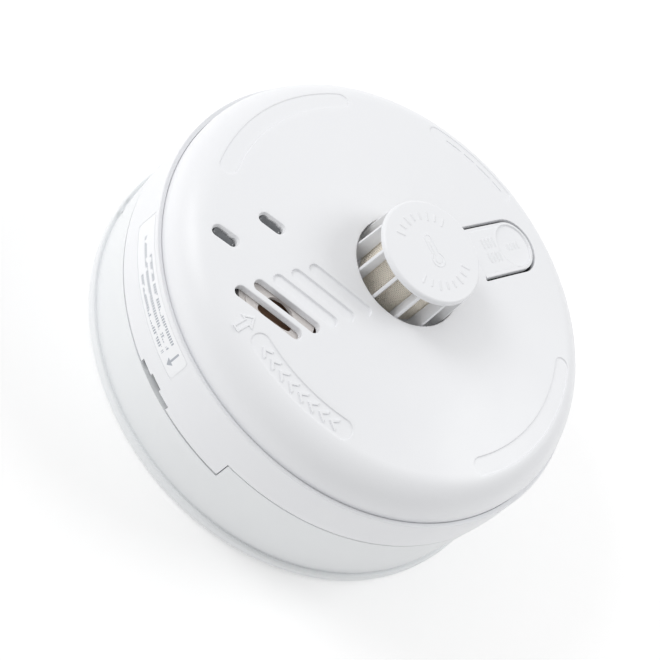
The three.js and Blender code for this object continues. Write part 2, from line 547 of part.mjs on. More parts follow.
// Components standing on the board, each placed by its centre.
const onBoard = (name, body, material, x, y) => add(headGroup, name, body, material, [x, y, ON_BOARD_Z]);
onBoard('mains_capacitor', box([-9, 9], [-4.2, 4.2], [0, 12.5]), CAPACITOR, 14, 28);
const canCapacitor = join(cylinder([0, 0], [0, 11], 4), cylinder([0, 0], [10.9, 11.4], 3.3));
addCopies(headGroup, 'smoothing_capacitor', canCapacitor, BLACK_PLASTIC,
  [[-12, 38, ON_BOARD_Z], [0, 40, ON_BOARD_Z]]);
onBoard('driver_coil', join(
  cylinder([0, 0], [0, 8.5], 2.6, 24),
  cylinder([0, 0], [0, 1.4], 4.5, 24),
  cylinder([0, 0], [7, 8.5], 4.5, 24),
  cylinder([0, 0], [1.3, 7.1], 3.8, 24),
), BLACK_PLASTIC, 14, 12);
onBoard('fuse', join(
  rod([-5, 5], [0, 2.6], 2.3),
  rod([-6.4, -4.9], [0, 2.6], 2.5),
  rod([4.9, 6.4], [0, 2.6], 2.5),
), STEEL, 14, 40);
onBoard('surge_varistor', rod([-1.8, 1.8], [0, 5.2], 5, 20), VARISTOR, 28, 22);
const chipLegs = Array.from({ length: 7 }, (_, i) => (
  box([-4.3 + i * 1.27, -3.8 + i * 1.27], [-3.2, 3.2], [0, 0.8])));
onBoard('controller_chip', join(box([-5.2, 5.2], [-2, 2], [0.5, 2.2]), ...chipLegs), BLACK_PLASTIC, 16, -6);
onBoard('bridge_rectifier', box([-4, 4], [-3, 3], [0, 3]), BLACK_PLASTIC, -6, 20);
const resistor = join(
  rod([-2.4, 2.4], [0, 1.3], 0.9, 10),
  rod([-3.2, -1.8], [0, 1.3], 1.15, 10),
  rod([1.8, 3.2], [0, 1.3], 1.15, 10),
);
addCopies(headGroup, 'resistor', resistor, RESISTOR, [[42, 12, ON_BOARD_Z], [42, 16, ON_BOARD_Z]]);

// Indicator lamps on tall legs beneath their windows.
const LAMP_TOP = 46.5;
const LAMPS = { green_led: [WINDOWS.green_window, GREEN_LENS], red_led: [WINDOWS.red_window, RED_LENS] };
Object.entries(LAMPS).forEach(([name, [[x, y], lens]]) => {
  const inset = name === 'red_led' ? 3 : 0;
  const legs = mirroredY.map((side) => cylinder([side * 1.27, 0], [ON_BOARD_Z, LAMP_TOP - 5.2], 0.3, 8));
  const bulb = join(
    cylinder([0, 0], [LAMP_TOP - 5.3, LAMP_TOP - 1.5], 1.5, 16),
    cylinder([0, 0], [LAMP_TOP - 5.3, LAMP_TOP - 4.3], 1.9, 16),
    cylinder([0, 0], [LAMP_TOP - 1.6, LAMP_TOP], 1.5, 16, 0.7),
  );
  add(headGroup, name, join(bulb, ...legs), lens, [x + inset, y - inset / 2, 0]);
});

// ---- sounder ------------------------------------------------------------------------------------------
function sounderHorn() {
  const centre = [HORN_X, 0];
  const wall = ring([HORN_R - 1.6, HORN_R], [DISC_Z - 1.5, TOP_Z], centre, 40)
    .intersect(domeSolid(SKIN + 0.5, 30));
  const ledge = ring([12.5, HORN_R - 1.5], [DISC_Z - 1.5, DISC_Z - GAP], centre, 40);
  const legs = [60, 180, 300].map((degrees) => {
    const angle = THREE.MathUtils.degToRad(degrees);
    const place = [HORN_X + 15.4 * Math.cos(angle), 15.4 * Math.sin(angle)];
    return cylinder(place, [ON_BOARD_Z, DISC_Z - 1], 1.6, 12);
  });
  return join(wall, ledge, ...legs);
}
add(headGroup, 'sounder_horn', sounderHorn(), WHITE);
add(headGroup, 'sounder_disc', join(
  cylinder([0, 0], [0, 0.5], HORN_R - 2.0, 40),
  cylinder([0, 0], [0.4, 0.8], 9.5, 32),
), CERAMIC, [HORN_X, 0, DISC_Z]);
addCopies(headGroup, 'sounder_spring', cylinder([0, 0], [ON_BOARD_Z, DISC_Z - GAP], 0.9, 10), STEEL,
  mirroredY.map((side) => [HORN_X, side * 4, 0]));

// ---- backup battery and its snap ----------------------------------------------------------------------
const STUD_Z = (BATTERY.z[0] + BATTERY.z[1]) / 2;
const BATTERY_BODY_X = [BATTERY.x[0], BATTERY.x[1] - 8];
const SNAP_X = BATTERY_BODY_X[1] + 3;
add(headGroup, 'backup_battery', join(
  box(BATTERY_BODY_X, BATTERY.y, BATTERY.z),
  ...[-6.35, 6.35].map((y) => rod([BATTERY_BODY_X[1] - 0.1, SNAP_X - GAP], [y - 33.25, STUD_Z], 2.8)),
), BATTERY_SKIN);
const snap = box([SNAP_X, SNAP_X + 2.5], [-44, -22.5], [STUD_Z - 5.5, STUD_Z + 5.5]);
add(headGroup, 'battery_snap', snap, BLACK_PLASTIC);

// The leads leave the snap side by side, the black one a little further out, and end on the board.
const LEADS = [['battery_lead_red', 0, RED_WIRE], ['battery_lead_black', 4, BLACK_WIRE]];
LEADS.forEach(([name, shift, material]) => {
  const startX = SNAP_X + 2.5 + GAP;
  const route = [
    [startX, -28 - shift, STUD_Z], [startX + 2, -28 - shift, STUD_Z], [startX + 5 + shift, -25, STUD_Z - 1],
    [startX + 5 + shift, -18, 39], [startX + 4 + shift, -12, 37], [startX + 3 + shift, -7, ON_BOARD_Z + 0.8],
  ];
  add(headGroup, name, wire(route, 0.7), material);
});

export default group;
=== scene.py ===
# %% [markdown]
# # A mains heat alarm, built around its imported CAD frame
# The object is a white round heat alarm: a mounting plate that stays on the ceiling and a head that slides
# off it. The frame holds every part at its true size. This lesson builds the fine surfaces over it, mostly
# from outlines that are triangulated flat and then lifted onto the dome or wrapped round the wall.

# %% Load the frame
import json
import math
import bmesh
import bpy
import numpy as np
from mathutils import Matrix, Vector
from mathutils.geometry import delaunay_2d_cdt


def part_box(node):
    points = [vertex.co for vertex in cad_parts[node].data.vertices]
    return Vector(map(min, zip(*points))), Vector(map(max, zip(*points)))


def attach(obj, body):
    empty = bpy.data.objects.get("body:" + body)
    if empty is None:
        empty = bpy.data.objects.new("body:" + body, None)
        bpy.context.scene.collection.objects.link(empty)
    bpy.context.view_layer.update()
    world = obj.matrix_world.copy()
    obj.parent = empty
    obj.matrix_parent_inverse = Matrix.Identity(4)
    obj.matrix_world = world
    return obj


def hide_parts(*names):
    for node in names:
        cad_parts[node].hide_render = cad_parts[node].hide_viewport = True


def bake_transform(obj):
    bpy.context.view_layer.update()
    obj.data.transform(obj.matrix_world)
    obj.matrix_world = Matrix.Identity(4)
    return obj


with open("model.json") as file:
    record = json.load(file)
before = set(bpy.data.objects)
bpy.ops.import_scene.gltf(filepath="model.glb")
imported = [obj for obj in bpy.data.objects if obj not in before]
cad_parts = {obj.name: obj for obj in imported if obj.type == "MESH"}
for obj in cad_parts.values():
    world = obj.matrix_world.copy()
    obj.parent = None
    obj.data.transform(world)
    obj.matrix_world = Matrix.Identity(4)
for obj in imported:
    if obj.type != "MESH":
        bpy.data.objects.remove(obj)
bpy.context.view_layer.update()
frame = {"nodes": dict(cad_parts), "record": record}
MM = 0.001
NODES = frame["nodes"]

# %% [markdown]
# ## Sizes
# Sizes come from the frame's boxes where the frame holds them, and are in millimetres. The face of the
# cover is a shallow crown, a parabola that falls towards the edge, and an arc that is tangent to it turns
# down into the side wall.

# %% Sizes from the frame


def corners(node):
    """Lowest and highest corner of a CAD node in millimetres."""
    low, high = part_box(node)
    return np.array(low) / MM, np.array(high) / MM


cover_low, cover_high = corners("front_cover")
label_low, label_high = corners("side_label")
SPLIT_Z = corners("mounting_plate")[1][2]
BAND_R = corners("rear_housing")[1][0]
STEM_Z = corners("test_button")[0][2]
DOME_R = cover_high[0]
SEAT_Z = cover_low[2]
SKIN = 2.0
FACE_EDGE_R = 58.0
FACE_MID_Z = 55.35
FACE_DROP = 4.14
EDGE_TILT = math.atan(2 * FACE_DROP / FACE_EDGE_R)
FILLET_R = (DOME_R - FACE_EDGE_R) / (1 - math.sin(EDGE_TILT))
FILLET_CENTRE_R = DOME_R - FILLET_R
FACE_EDGE_Z = FACE_MID_Z - FACE_DROP
FILLET_CENTRE_Z = FACE_EDGE_Z - FILLET_R * math.cos(EDGE_TILT)


def dome_height(r, inset=0.0):
    """Height of the cover's surface, or of a surface that lies inset under it."""
    r = np.asarray(r, float)
    crown = FACE_MID_Z - FACE_DROP * (r / FACE_EDGE_R) ** 2 - inset
    reach = np.clip((FILLET_R - inset) ** 2 - (r - FILLET_CENTRE_R) ** 2, 0, None)
    return np.where(r <= FACE_EDGE_R, crown, FILLET_CENTRE_Z + np.sqrt(reach))


print("fillet radius", round(FILLET_R, 2), "face edge height", round(FACE_EDGE_Z, 2))

# %% [markdown]
# ## The camera
# The alarm is seen from the front left, tilted, with the camera rolled, so the round face fills the frame.
# The camera is placed by its three axes, and its lens is a long one, as for a product picture.

# %% Camera
CAMERA_PLACE = Vector((-303.9, -93.3, 358.1)) * MM
CAMERA_RIGHT = Vector((0.72986, -0.43497, 0.52735))
CAMERA_UP = Vector((0.21236, 0.87754, 0.42991))
camera_data = bpy.data.cameras.new("camera")
camera_data.lens = 87.27
camera_data.sensor_width = 36
camera_data.clip_start = 0.01
camera = bpy.data.objects.new("camera", camera_data)
bpy.context.scene.collection.objects.link(camera)
camera_back = CAMERA_RIGHT.cross(CAMERA_UP).normalized()
turn = Matrix((CAMERA_RIGHT.normalized(), CAMERA_UP.normalized(), camera_back)).transposed()
camera.matrix_world = Matrix.Translation(CAMERA_PLACE) @ turn.to_4x4()
bpy.context.scene.camera = camera
print("camera distance", round(CAMERA_PLACE.length, 3), "m")

# %% [markdown]
# ## Nodes and materials
# One small function adds a node to any tree with its settings and links. Colours are written as sRGB hex
# and turned to linear by one function. Every material reads Object coordinates, which are metres here, so
# a pattern's scale is one over its real size.

# %% Node and colour helpers


def add_node(tree, kind, inputs=None, **settings):
    """Adds a node, sets its settings, and gives each named input a value or a link."""
    node = tree.nodes.new(kind)
    for key, value in settings.items():
        setattr(node, key, value)
    for key, value in (inputs or {}).items():
        socket = node.inputs[key]
        if isinstance(value, bpy.types.NodeSocket):
            tree.links.new(value, socket)
        else:
            socket.default_value = value
    return node


def linear(hex_colour):
    """An sRGB hex colour as linear RGBA."""
    parts = [int(hex_colour[i:i + 2], 16) / 255 for i in (1, 3, 5)]
    return tuple(c / 12.92 if c <= 0.04045 else ((c + 0.055) / 1.055) ** 2.4 for c in parts) + (1.0,)


def new_material(name):
    """An empty node material: its tree, its output and its shader."""
    material = bpy.data.materials.new(name)
    material.use_nodes = True
    tree = material.node_tree
    tree.nodes.clear()
    output = add_node(tree, "ShaderNodeOutputMaterial")
    shader = add_node(tree, "ShaderNodeBsdfPrincipled")
    tree.links.new(shader.outputs["BSDF"], output.inputs["Surface"])
    return material, tree, shader


def set_shader(shader, **values):
    """Sets plain values straight on the shader's own sockets."""
    for key, value in values.items():
        shader.inputs[key.replace("_", " ")].default_value = value


print("mid grey in linear light", round(linear("#808080")[0], 3))


# %% [markdown]
# ### Moulded plastics
# The shells are injection-moulded ABS from a spark-eroded mould: a faint grain of about 0.3 mm in the
# surface, and slow waves in the gloss and the tint where the plastic flowed. The nylons and the screen's
# polyester yarn use the same function with their own colour, gloss and grain.

# %% Moulded plastics


def moulded(name, colour, tint, roughness, grain_mm=0.3, grain_depth=0.05, ior=1.53):
    """A moulded plastic with a fine grain, slow gloss variation and a slight tint in its colour."""
    material, tree, shader = new_material(name)
    place = add_node(tree, "ShaderNodeTexCoord").outputs["Object"]
    flow = add_node(tree, "ShaderNodeTexNoise", {"Vector": place, "Scale": 1 / (22 * MM), "Detail": 3.0})
    grain = add_node(tree, "ShaderNodeTexNoise", {
        "Vector": place, "Scale": 1 / (grain_mm * MM), "Detail": 2.0})
    shade = add_node(tree, "ShaderNodeMix", {"Factor": flow.outputs["Fac"]}, data_type="RGBA")
    shade.inputs[6].default_value = linear(colour)
    shade.inputs[7].default_value = linear(tint)
    gloss = add_node(tree, "ShaderNodeMapRange", {
        "Value": flow.outputs["Fac"], "From Min": 0.3, "From Max": 0.7,
        "To Min": roughness - 0.04, "To Max": roughness + 0.05})
    bump = add_node(tree, "ShaderNodeBump", {
        "Height": grain.outputs["Fac"], "Strength": 0.5, "Distance": grain_depth * MM})
    tree.links.new(shade.outputs[2], shader.inputs["Base Color"])
    tree.links.new(gloss.outputs["Result"], shader.inputs["Roughness"])
    tree.links.new(bump.outputs["Normal"], shader.inputs["Normal"])
    set_shader(shader, IOR=ior)
    return material


white_abs = moulded("white moulded ABS", "#f1f2f4", "#eeeff2", 0.40, grain_depth=0.03)
plate_abs = moulded("white moulded ABS, plate", "#eff1f2", "#ebedef", 0.46, grain_depth=0.04)
grey_nylon = moulded("grey nylon", "#b9bcbb", "#b0b3b3", 0.50)
terminal_nylon = moulded("natural white nylon", "#dcdcd6", "#d2d2ca", 0.48)
black_nylon = moulded("black glass-filled nylon", "#1c1d1f", "#242528", 0.45, grain_depth=0.06)
screen_yarn = moulded("woven polyester yarn", "#fdf7ec", "#f6eedd", 0.6, grain_mm=0.15, grain_depth=0.01)
print("moulded plastics", [m.name for m in bpy.data.materials])

# %% [markdown]
# ### Metals
# Stamped brass and zinc-plated steel keep the default index. Stamping and rolling leave fine streaks along
# one direction, drawn by noise that is stretched along X, and handling leaves slow changes in the gloss.

# %% Metals


def rolled_metal(name, colour, dark, roughness, streak_mm=0.12):
    """A metal with fine rolled streaks in its colour, roughness and bump."""
    material, tree, shader = new_material(name)
    place = add_node(tree, "ShaderNodeTexCoord").outputs["Object"]
    stretched = add_node(tree, "ShaderNodeMapping", {"Vector": place, "Scale": (0.08, 1.0, 1.0)})
    streaks = add_node(tree, "ShaderNodeTexNoise", {
        "Vector": stretched.outputs["Vector"], "Scale": 1 / (streak_mm * MM), "Detail": 3.0})
    shade = add_node(tree, "ShaderNodeMix", {"Factor": streaks.outputs["Fac"]}, data_type="RGBA")
    shade.inputs[6].default_value = linear(dark)
    shade.inputs[7].default_value = linear(colour)
    gloss = add_node(tree, "ShaderNodeMapRange", {
        "Value": streaks.outputs["Fac"], "To Min": roughness - 0.06, "To Max": roughness + 0.1})
    bump = add_node(tree, "ShaderNodeBump", {
        "Height": streaks.outputs["Fac"], "Strength": 0.3, "Distance": 0.02 * MM})
    tree.links.new(shade.outputs[2], shader.inputs["Base Color"])
    tree.links.new(gloss.outputs["Result"], shader.inputs["Roughness"])
    tree.links.new(bump.outputs["Normal"], shader.inputs["Normal"])
    set_shader(shader, Metallic=1.0)
    return material


brass = rolled_metal("stamped brass", "#d8b468", "#b58f45", 0.30)
steel = rolled_metal("zinc-plated steel", "#c9cdd2", "#a9aeb4", 0.32)
print("metals ready")

# %% [markdown]
# ### Board, windows, disc and cable
# The board is glass-epoxy under green solder resist, with copper tracks that show as a paler pattern. The
# indicator windows are smoked polycarbonate. The sounder's disc is lacquered brass. Wire insulation is
# soft PVC, and the battery wears a printed steel skin.

# %% Board, window and cable materials


def board_resist():
    """Green solder resist with paler tracks under it and fine flecks of the glass weave."""
    material, tree, shader = new_material("green solder resist")
    place = add_node(tree, "ShaderNodeTexCoord").outputs["Object"]
    tracks = add_node(tree, "ShaderNodeTexBrick", {
        "Vector": place, "Scale": 1 / (9 * MM), "Mortar Size": 0.05, "Color1": linear("#1d5a37"),
        "Color2": linear("#226440"), "Mortar": linear("#3a8a58")})
    weave = add_node(tree, "ShaderNodeTexNoise", {"Vector": place, "Scale": 1 / (0.4 * MM), "Detail": 2.0})
    bump = add_node(tree, "ShaderNodeBump", {
        "Height": weave.outputs["Fac"], "Strength": 0.3, "Distance": 0.03 * MM})
    tree.links.new(tracks.outputs["Color"], shader.inputs["Base Color"])
    tree.links.new(bump.outputs["Normal"], shader.inputs["Normal"])
    set_shader(shader, Roughness=0.32, IOR=1.5)
    return material


def smoked_window(name, dark, pale, roughness=0.12):
    """A tinted clear plastic with slow clouds in its tint and a glossy coat."""
    material, tree, shader = new_material(name)
    place = add_node(tree, "ShaderNodeTexCoord").outputs["Object"]
    cloud = add_node(tree, "ShaderNodeTexNoise", {"Vector": place, "Scale": 1 / (2.6 * MM), "Detail": 2.0})
    shade = add_node(tree, "ShaderNodeMix", {"Factor": cloud.outputs["Fac"]}, data_type="RGBA")
    shade.inputs[6].default_value = linear(dark)
    shade.inputs[7].default_value = linear(pale)
    tree.links.new(shade.outputs[2], shader.inputs["Base Color"])
    set_shader(shader, Roughness=roughness, IOR=1.58, Coat_Weight=0.6, Coat_Roughness=0.05)
    return material


resist = board_resist()
smoked = smoked_window("smoked polycarbonate", "#36383b", "#6a6d71")
green_lens = smoked_window("green diffused epoxy", "#3f8f54", "#7cc78c", 0.25)
red_lens = smoked_window("red diffused epoxy", "#8f231c", "#c9483f", 0.25)
disc_plate = moulded("lacquered brass sounder disc", "#d8b298", "#cda587", 0.42, grain_depth=0.04)
horn_abs = moulded("white moulded ABS, horn", "#e6e2df", "#dcd6d3", 0.45)
red_pvc = moulded("red PVC", "#a3221b", "#b42d24", 0.42, grain_depth=0.03)
black_pvc = moulded("black PVC", "#1a1a1b", "#262627", 0.42, grain_depth=0.03)
battery_skin = moulded("printed battery skin", "#37414b", "#2e3740", 0.35, grain_depth=0.02)
yellow_resin = moulded("yellow capacitor case", "#cfa431", "#c1962a", 0.42)
blue_epoxy = moulded("blue epoxy dip", "#2a5a9e", "#234d8a", 0.3)
tan_lacquer = moulded("tan resistor lacquer", "#c4a877", "#b39463", 0.4)
print("materials", len(bpy.data.materials))

# %% [markdown]
# ## Flat outlines, lifted
# A moulded face with pockets, slots and rounded edges is easiest to draw flat. Each feature is a signed
# distance, positive outside it, and an edge profile that says how deep the surface lies at each distance.
# Loops of points follow each feature at the profile's steps, a triangulation joins them, and the points are
# then lifted onto the dome. This keeps every rounded edge exact with few triangles.

# %% Points along arcs and lines


def arc_points(centre, r, start, end, step):
    """Points along an arc, with about one every step millimetres; angles in radians."""
    count = max(2, int(math.ceil(abs(end - start) * max(r, 0.01) / step)) + 1)
    angles = np.linspace(start, end, count)
    return np.stack([centre[0] + r * np.cos(angles), centre[1] + r * np.sin(angles)], 1)


def circle_loop(r, count, centre=(0, 0)):
    """Evenly spaced points round a circle."""
    angles = np.arange(count) * 2 * math.pi / count
    return np.stack([centre[0] + r * np.cos(angles), centre[1] + r * np.sin(angles)], 1)


def line_points(a, b, step):
    """Points from a up to, but not including, b."""
    a, b = np.array(a, float), np.array(b, float)
    count = max(1, int(math.ceil(np.linalg.norm(b - a) / step)))
    return a + (b - a) * (np.arange(count) / count)[:, None]


print("points on a quarter of a 10 mm circle, 1 mm apart", len(arc_points((0, 0), 10, 0, math.pi / 2, 1)))

# %% [markdown]
# Four outlines serve for every feature: a straight slot, a slot bent round the axis, a circle and an open
# path. Each gives its signed distance at any point, and the closed ones give a loop of points at any offset.

# %% Outlines with their distances


class Slot:
    """A straight slot with round ends: a centre, the distance between its end centres, radius and angle."""

    def __init__(self, centre, length, r, angle):
        self.centre, self.r, self.angle = np.array(centre, float), r, angle
        self.half = np.array([math.cos(angle), math.sin(angle)]) * length / 2

    def distance(self, p):
        along = self.half / max(np.linalg.norm(self.half), 1e-9)
        rel = p - self.centre
        t = np.clip(rel @ along, -np.linalg.norm(self.half), np.linalg.norm(self.half))
        return np.linalg.norm(rel - t[:, None] * along, axis=1) - self.r

    def loop(self, offset, step):
        r, a = self.r + offset, self.angle
        first = arc_points(self.centre + self.half, r, a - math.pi / 2, a + math.pi / 2, step)
        second = arc_points(self.centre - self.half, r, a + math.pi / 2, a + 3 * math.pi / 2, step)
        sides = [line_points(first[-1], second[0], 1.2)[1:], line_points(second[-1], first[0], 1.2)[1:]]
        return np.concatenate([first, sides[0], second, sides[1]])


class ArcSlot:
    """A slot that follows a circle about the axis, between two angles in degrees, with round ends."""

    def __init__(self, r, half_width, start, end):
        self.r, self.half_width = r, half_width
        self.start, self.end = math.radians(start), math.radians(end)

    def distance(self, p):
        angle = np.mod(np.arctan2(p[:, 1], p[:, 0]) - self.start, 2 * math.pi)
        inside = angle <= self.end - self.start
        ends = [np.array([math.cos(a), math.sin(a)]) * self.r for a in (self.start, self.end)]
        to_ends = np.minimum(*[np.linalg.norm(p - e, axis=1) for e in ends])
        return np.where(inside, np.abs(np.linalg.norm(p, axis=1) - self.r), to_ends) - self.half_width

    def loop(self, offset, step):
        w = self.half_width + offset
        tip = [np.array([math.cos(a), math.sin(a)]) * self.r for a in (self.start, self.end)]
        outer = arc_points((0, 0), self.r + w, self.start, self.end, 1.0)
        inner = arc_points((0, 0), self.r - w, self.end, self.start, 1.0)
        cap_end = arc_points(tip[1], w, self.end, self.end + math.pi, step)[1:-1]
        cap_start = arc_points(tip[0], w, self.start + math.pi, self.start + 2 * math.pi, step)[1:-1]
        return np.concatenate([outer, cap_end, inner, cap_start])


class Circle:
    """A round outline; outside is positive."""

    def __init__(self, centre, r):
        self.centre, self.r = np.array(centre, float), r

    def distance(self, p):
        return np.linalg.norm(p - self.centre, axis=1) - self.r

    def loop(self, offset, step):
        return arc_points(self.centre, self.r + offset, 0, 2 * math.pi, step)[:-1]


class Path:
    """An open line of points with a width, such as the gap round the button's tongue."""

    def __init__(self, points, half_width):
        self.points, self.half_width = np.array(points, float), half_width

    def distance(self, p):
        best = np.full(len(p), 1e9)
        for a, b in zip(self.points[:-1], self.points[1:]):
            t = np.clip(((p - a) @ (b - a)) / ((b - a) @ (b - a)), 0, 1)
            best = np.minimum(best, np.linalg.norm(p - a - t[:, None] * (b - a), axis=1))
        return best - self.half_width


print("distance from the axis to a 5 mm circle", Circle((0, 0), 5).distance(np.zeros((1, 2)))[0])

# %% [markdown]
# An edge profile is a list of (distance, depth) steps, outermost first.

# %% Edge profiles


def rounded_edge(r, steps=5):
    """A quarter round from the flat surface into an opening's edge."""
    turns = np.linspace(0, math.pi / 2, steps)
    return [(r * (1 - math.sin(t)), r * (1 - math.cos(t))) for t in turns]


def pocket_edge(depth, r=0.12, slope=0.12):
    """A blind pocket's edge: rounded at the top, a steep wall, rounded at the foot."""
    top = [(r, 0.0), (r * 0.45, r * 0.12), (r * 0.1, r * 0.5)]
    foot = [(-slope, depth - r * 0.5), (-slope - r * 0.35, depth - r * 0.12), (-slope - r, depth)]
    return top + foot


def profile_depth(profile, distance):
    """How deep the surface lies at each distance from an outline."""
    steps = np.array(sorted(profile))
    return np.interp(distance, steps[:, 0], steps[:, 1])


print("depth halfway round a 1 mm edge", round(float(profile_depth(rounded_edge(1), 0.5)), 3))

# %% [markdown]
# ## Triangulating and lifting
# The loops are constraints of a Delaunay triangulation. Triangles in openings are dropped. The same
# triangles serve the top and, flipped, the under side, and a strip joins them round each opening, so the
# result is one closed skin.

# %% Triangulate
ROW_STEP = 0.866


def triangulate(loops, extra, keep):
    """Points and triangles of the loops and extra points, where keep(centres) is true."""
    points, edges = [], []
    for loop in loops:
        start = sum(len(p) for p in points)
        count = len(loop)
        edges += [(start + i, start + (i + 1) % count) for i in range(count)]
        points.append(loop)
    points.append(extra)
    flat = np.concatenate(points)
    result = delaunay_2d_cdt([Vector(p) for p in flat], edges, [], 0, 1e-6)
    verts = np.array([tuple(v) for v in result[0]])
    faces = np.array(result[2])
    area = np.cross(verts[faces[:, 1]] - verts[faces[:, 0]], verts[faces[:, 2]] - verts[faces[:, 0]])
    faces = np.where((area < 0)[:, None], faces[:, ::-1], faces)
    faces = faces[(np.abs(area) > 1e-7) & keep(verts[faces].mean(1))]
    used = np.unique(faces)
    renumber = np.full(len(verts), -1)
    renumber[used] = np.arange(len(used))
    return verts[used], renumber[faces]


def inside_loops(p, loops):
    """Whether flat points lie inside an odd number of the loops."""
    odd = np.zeros(len(p), bool)
    for loop in loops:
        a, b = loop, np.roll(loop, -1, 0)
        for (ax, ay), (bx, by) in zip(a, b):
            crosses = (ay > p[:, 1]) != (by > p[:, 1])
            with np.errstate(divide="ignore", invalid="ignore"):
                x = ax + (p[:, 1] - ay) / (by - ay) * (bx - ax)
            odd ^= crosses & (p[:, 0] < x)
    return odd


def fill_loops(loops):
    """Points and triangles of the area that lies inside an odd number of the loops."""
    return triangulate(loops, np.zeros((0, 2)), lambda p: inside_loops(p, loops))


def boundary_edges(faces):
    """Directed edges that only one triangle uses."""
    edges = np.concatenate([faces[:, [0, 1]], faces[:, [1, 2]], faces[:, [2, 0]]])
    known = {tuple(e) for e in edges}
    return [(a, b) for a, b in known if (b, a) not in known]


def near_grid(low, high, pitch, features, clear=0.45):
    """A staggered grid of points that stays clear of every feature's edge."""
    xs = np.arange(low[0], high[0], pitch)
    ys = np.arange(low[1], high[1], pitch * ROW_STEP)
    grid = np.array([(x + (i % 2) * pitch / 2, y) for i, y in enumerate(ys) for x in xs])
    for feature in features:
        grid = grid[np.abs(feature.distance(grid)) > clear]
    return grid


print("triangles in a filled square", len(fill_loops([np.array([(0, 0), (1, 0), (1, 1), (0, 1)], float)])[1]))

# %% [markdown]
# ## Making objects
# Every object's place is in its mesh, in metres, and its object stays at the origin. Normals are set per
# corner: the area-weighted mean of the faces round a vertex, except across sharp edges, so large flats stay
# flat beside small rounds. Where the true surface is a formula, its exact normal replaces the mean.

# %% Corner normals


def corner_normals(mesh, exact=None, limit=32.0):
    """Sets area-weighted corner normals that break at edges sharper than the limit."""
    corners_count = len(mesh.loops)
    vertex = np.zeros(corners_count, np.int64)
    mesh.loops.foreach_get("vertex_index", vertex)
    sizes = np.zeros(len(mesh.polygons), np.int64)
    mesh.polygons.foreach_get("loop_total", sizes)
    face = np.repeat(np.arange(len(sizes)), sizes)
    normal = np.zeros(len(sizes) * 3)
    mesh.polygons.foreach_get("normal", normal)
    normal = normal.reshape(-1, 3)
    area = np.zeros(len(sizes))
    mesh.polygons.foreach_get("area", area)
    order = np.argsort(vertex, kind="stable")
    counts = np.bincount(vertex, minlength=len(mesh.vertices))
    starts = np.concatenate([[0], np.cumsum(counts)[:-1]])
    share = counts[vertex]
    own = np.repeat(np.arange(corners_count), share)
    within = np.arange(len(own)) - np.repeat(np.cumsum(share) - share, share)
    other = face[order[np.repeat(starts[vertex], share) + within]]
    close = (normal[face[own]] * normal[other]).sum(1) > math.cos(math.radians(limit))
    weight = np.where(close, area[other] + 1e-14, 0)
    total = np.zeros((corners_count, 3))
    np.add.at(total, own, normal[other] * weight[:, None])
    total /= np.maximum(np.linalg.norm(total, axis=1), 1e-20)[:, None]
    if exact is not None:
        place = np.zeros(len(mesh.vertices) * 3)
        mesh.vertices.foreach_get("co", place)
        total = exact(place.reshape(-1, 3)[vertex] / MM, total, normal[face])
    mesh.polygons.foreach_set("use_smooth", np.ones(len(sizes), bool))
    mesh.normals_split_custom_set(total.tolist())


print("corner normals ready")

# %% [markdown]
# Points and faces of a piece are collected by a small builder, which knows turned profiles and skins of
# an even or varying thickness. Booleans use the exact solver, and their tool is used up.

# %% Object helpers


def make_object(name, verts, faces, material):
    """A mesh object from points in millimetres, with its doubles merged."""
    mesh = bpy.data.meshes.new(name)
    mesh.from_pydata((np.asarray(verts) * MM).tolist(), [], [tuple(int(i) for i in f) for f in faces])
    work = bmesh.new()
    work.from_mesh(mesh)
    bmesh.ops.remove_doubles(work, verts=work.verts, dist=1e-7)
    bmesh.ops.dissolve_degenerate(work, edges=work.edges, dist=1e-8)
    work.to_mesh(mesh)
    work.free()
    mesh.materials.append(material)
    obj = bpy.data.objects.new(name, mesh)
    bpy.context.scene.collection.objects.link(obj)
    return obj


def report(obj):
    """Prints what was made."""
    print(obj.name, "faces", len(obj.data.polygons))
    return obj


def ring_faces(rings, steps, closed=False):
    """Faces that join each ring of points to the next, and the last to the first when closed."""
    return [(a * steps + i, a * steps + (i + 1) % steps, b * steps + (i + 1) % steps, b * steps + i)
            for a in range(rings if closed else rings - 1) for b in [(a + 1) % rings] for i in range(steps)]


class Build:
    """Collects points and faces of one piece."""

    def __init__(self):
        self.verts, self.faces, self.count = [], [], 0

    def add(self, verts, faces):
        self.verts.append(np.asarray(verts, float))
        self.faces += [tuple(int(i) + self.count for i in f) for f in faces]
        self.count += len(verts)

    def rings(self, profile, steps=256, closed=False):
        """Points of a [r, z] profile turned about Z; outward when the profile rises on the outside."""
        angles = np.arange(steps) * 2 * math.pi / steps
        verts = np.array([(r * math.cos(a), r * math.sin(a), z) for r, z in profile for a in angles])
        self.add(verts, ring_faces(len(profile), steps, closed))

    def thick(self, flat, faces, top, under, skip=None):
        """A closed skin between two lifted copies of a flat triangulation; skip leaves edges open."""
        count = len(flat)
        walls = [(a + count, b + count, b, a) for a, b in boundary_edges(faces)
                 if skip is None or not skip(flat[a], flat[b])]
        self.add(np.concatenate([top, under]),
                 list(faces) + [tuple(f[::-1] + count) for f in faces] + walls)

    def object(self, name, material):
        return make_object(name, np.concatenate(self.verts), self.faces, material)


def boolean(obj, tool, operation):
    """Cuts, joins or intersects obj with tool, which is used up."""
    modifier = obj.modifiers.new("cut", "BOOLEAN")
    modifier.operation, modifier.solver, modifier.object = operation, "EXACT", tool
    mesh = bpy.data.meshes.new_from_object(obj.evaluated_get(bpy.context.evaluated_depsgraph_get()))
    obj.modifiers.clear()
    obj.data = mesh
    bpy.data.objects.remove(tool)
    return obj


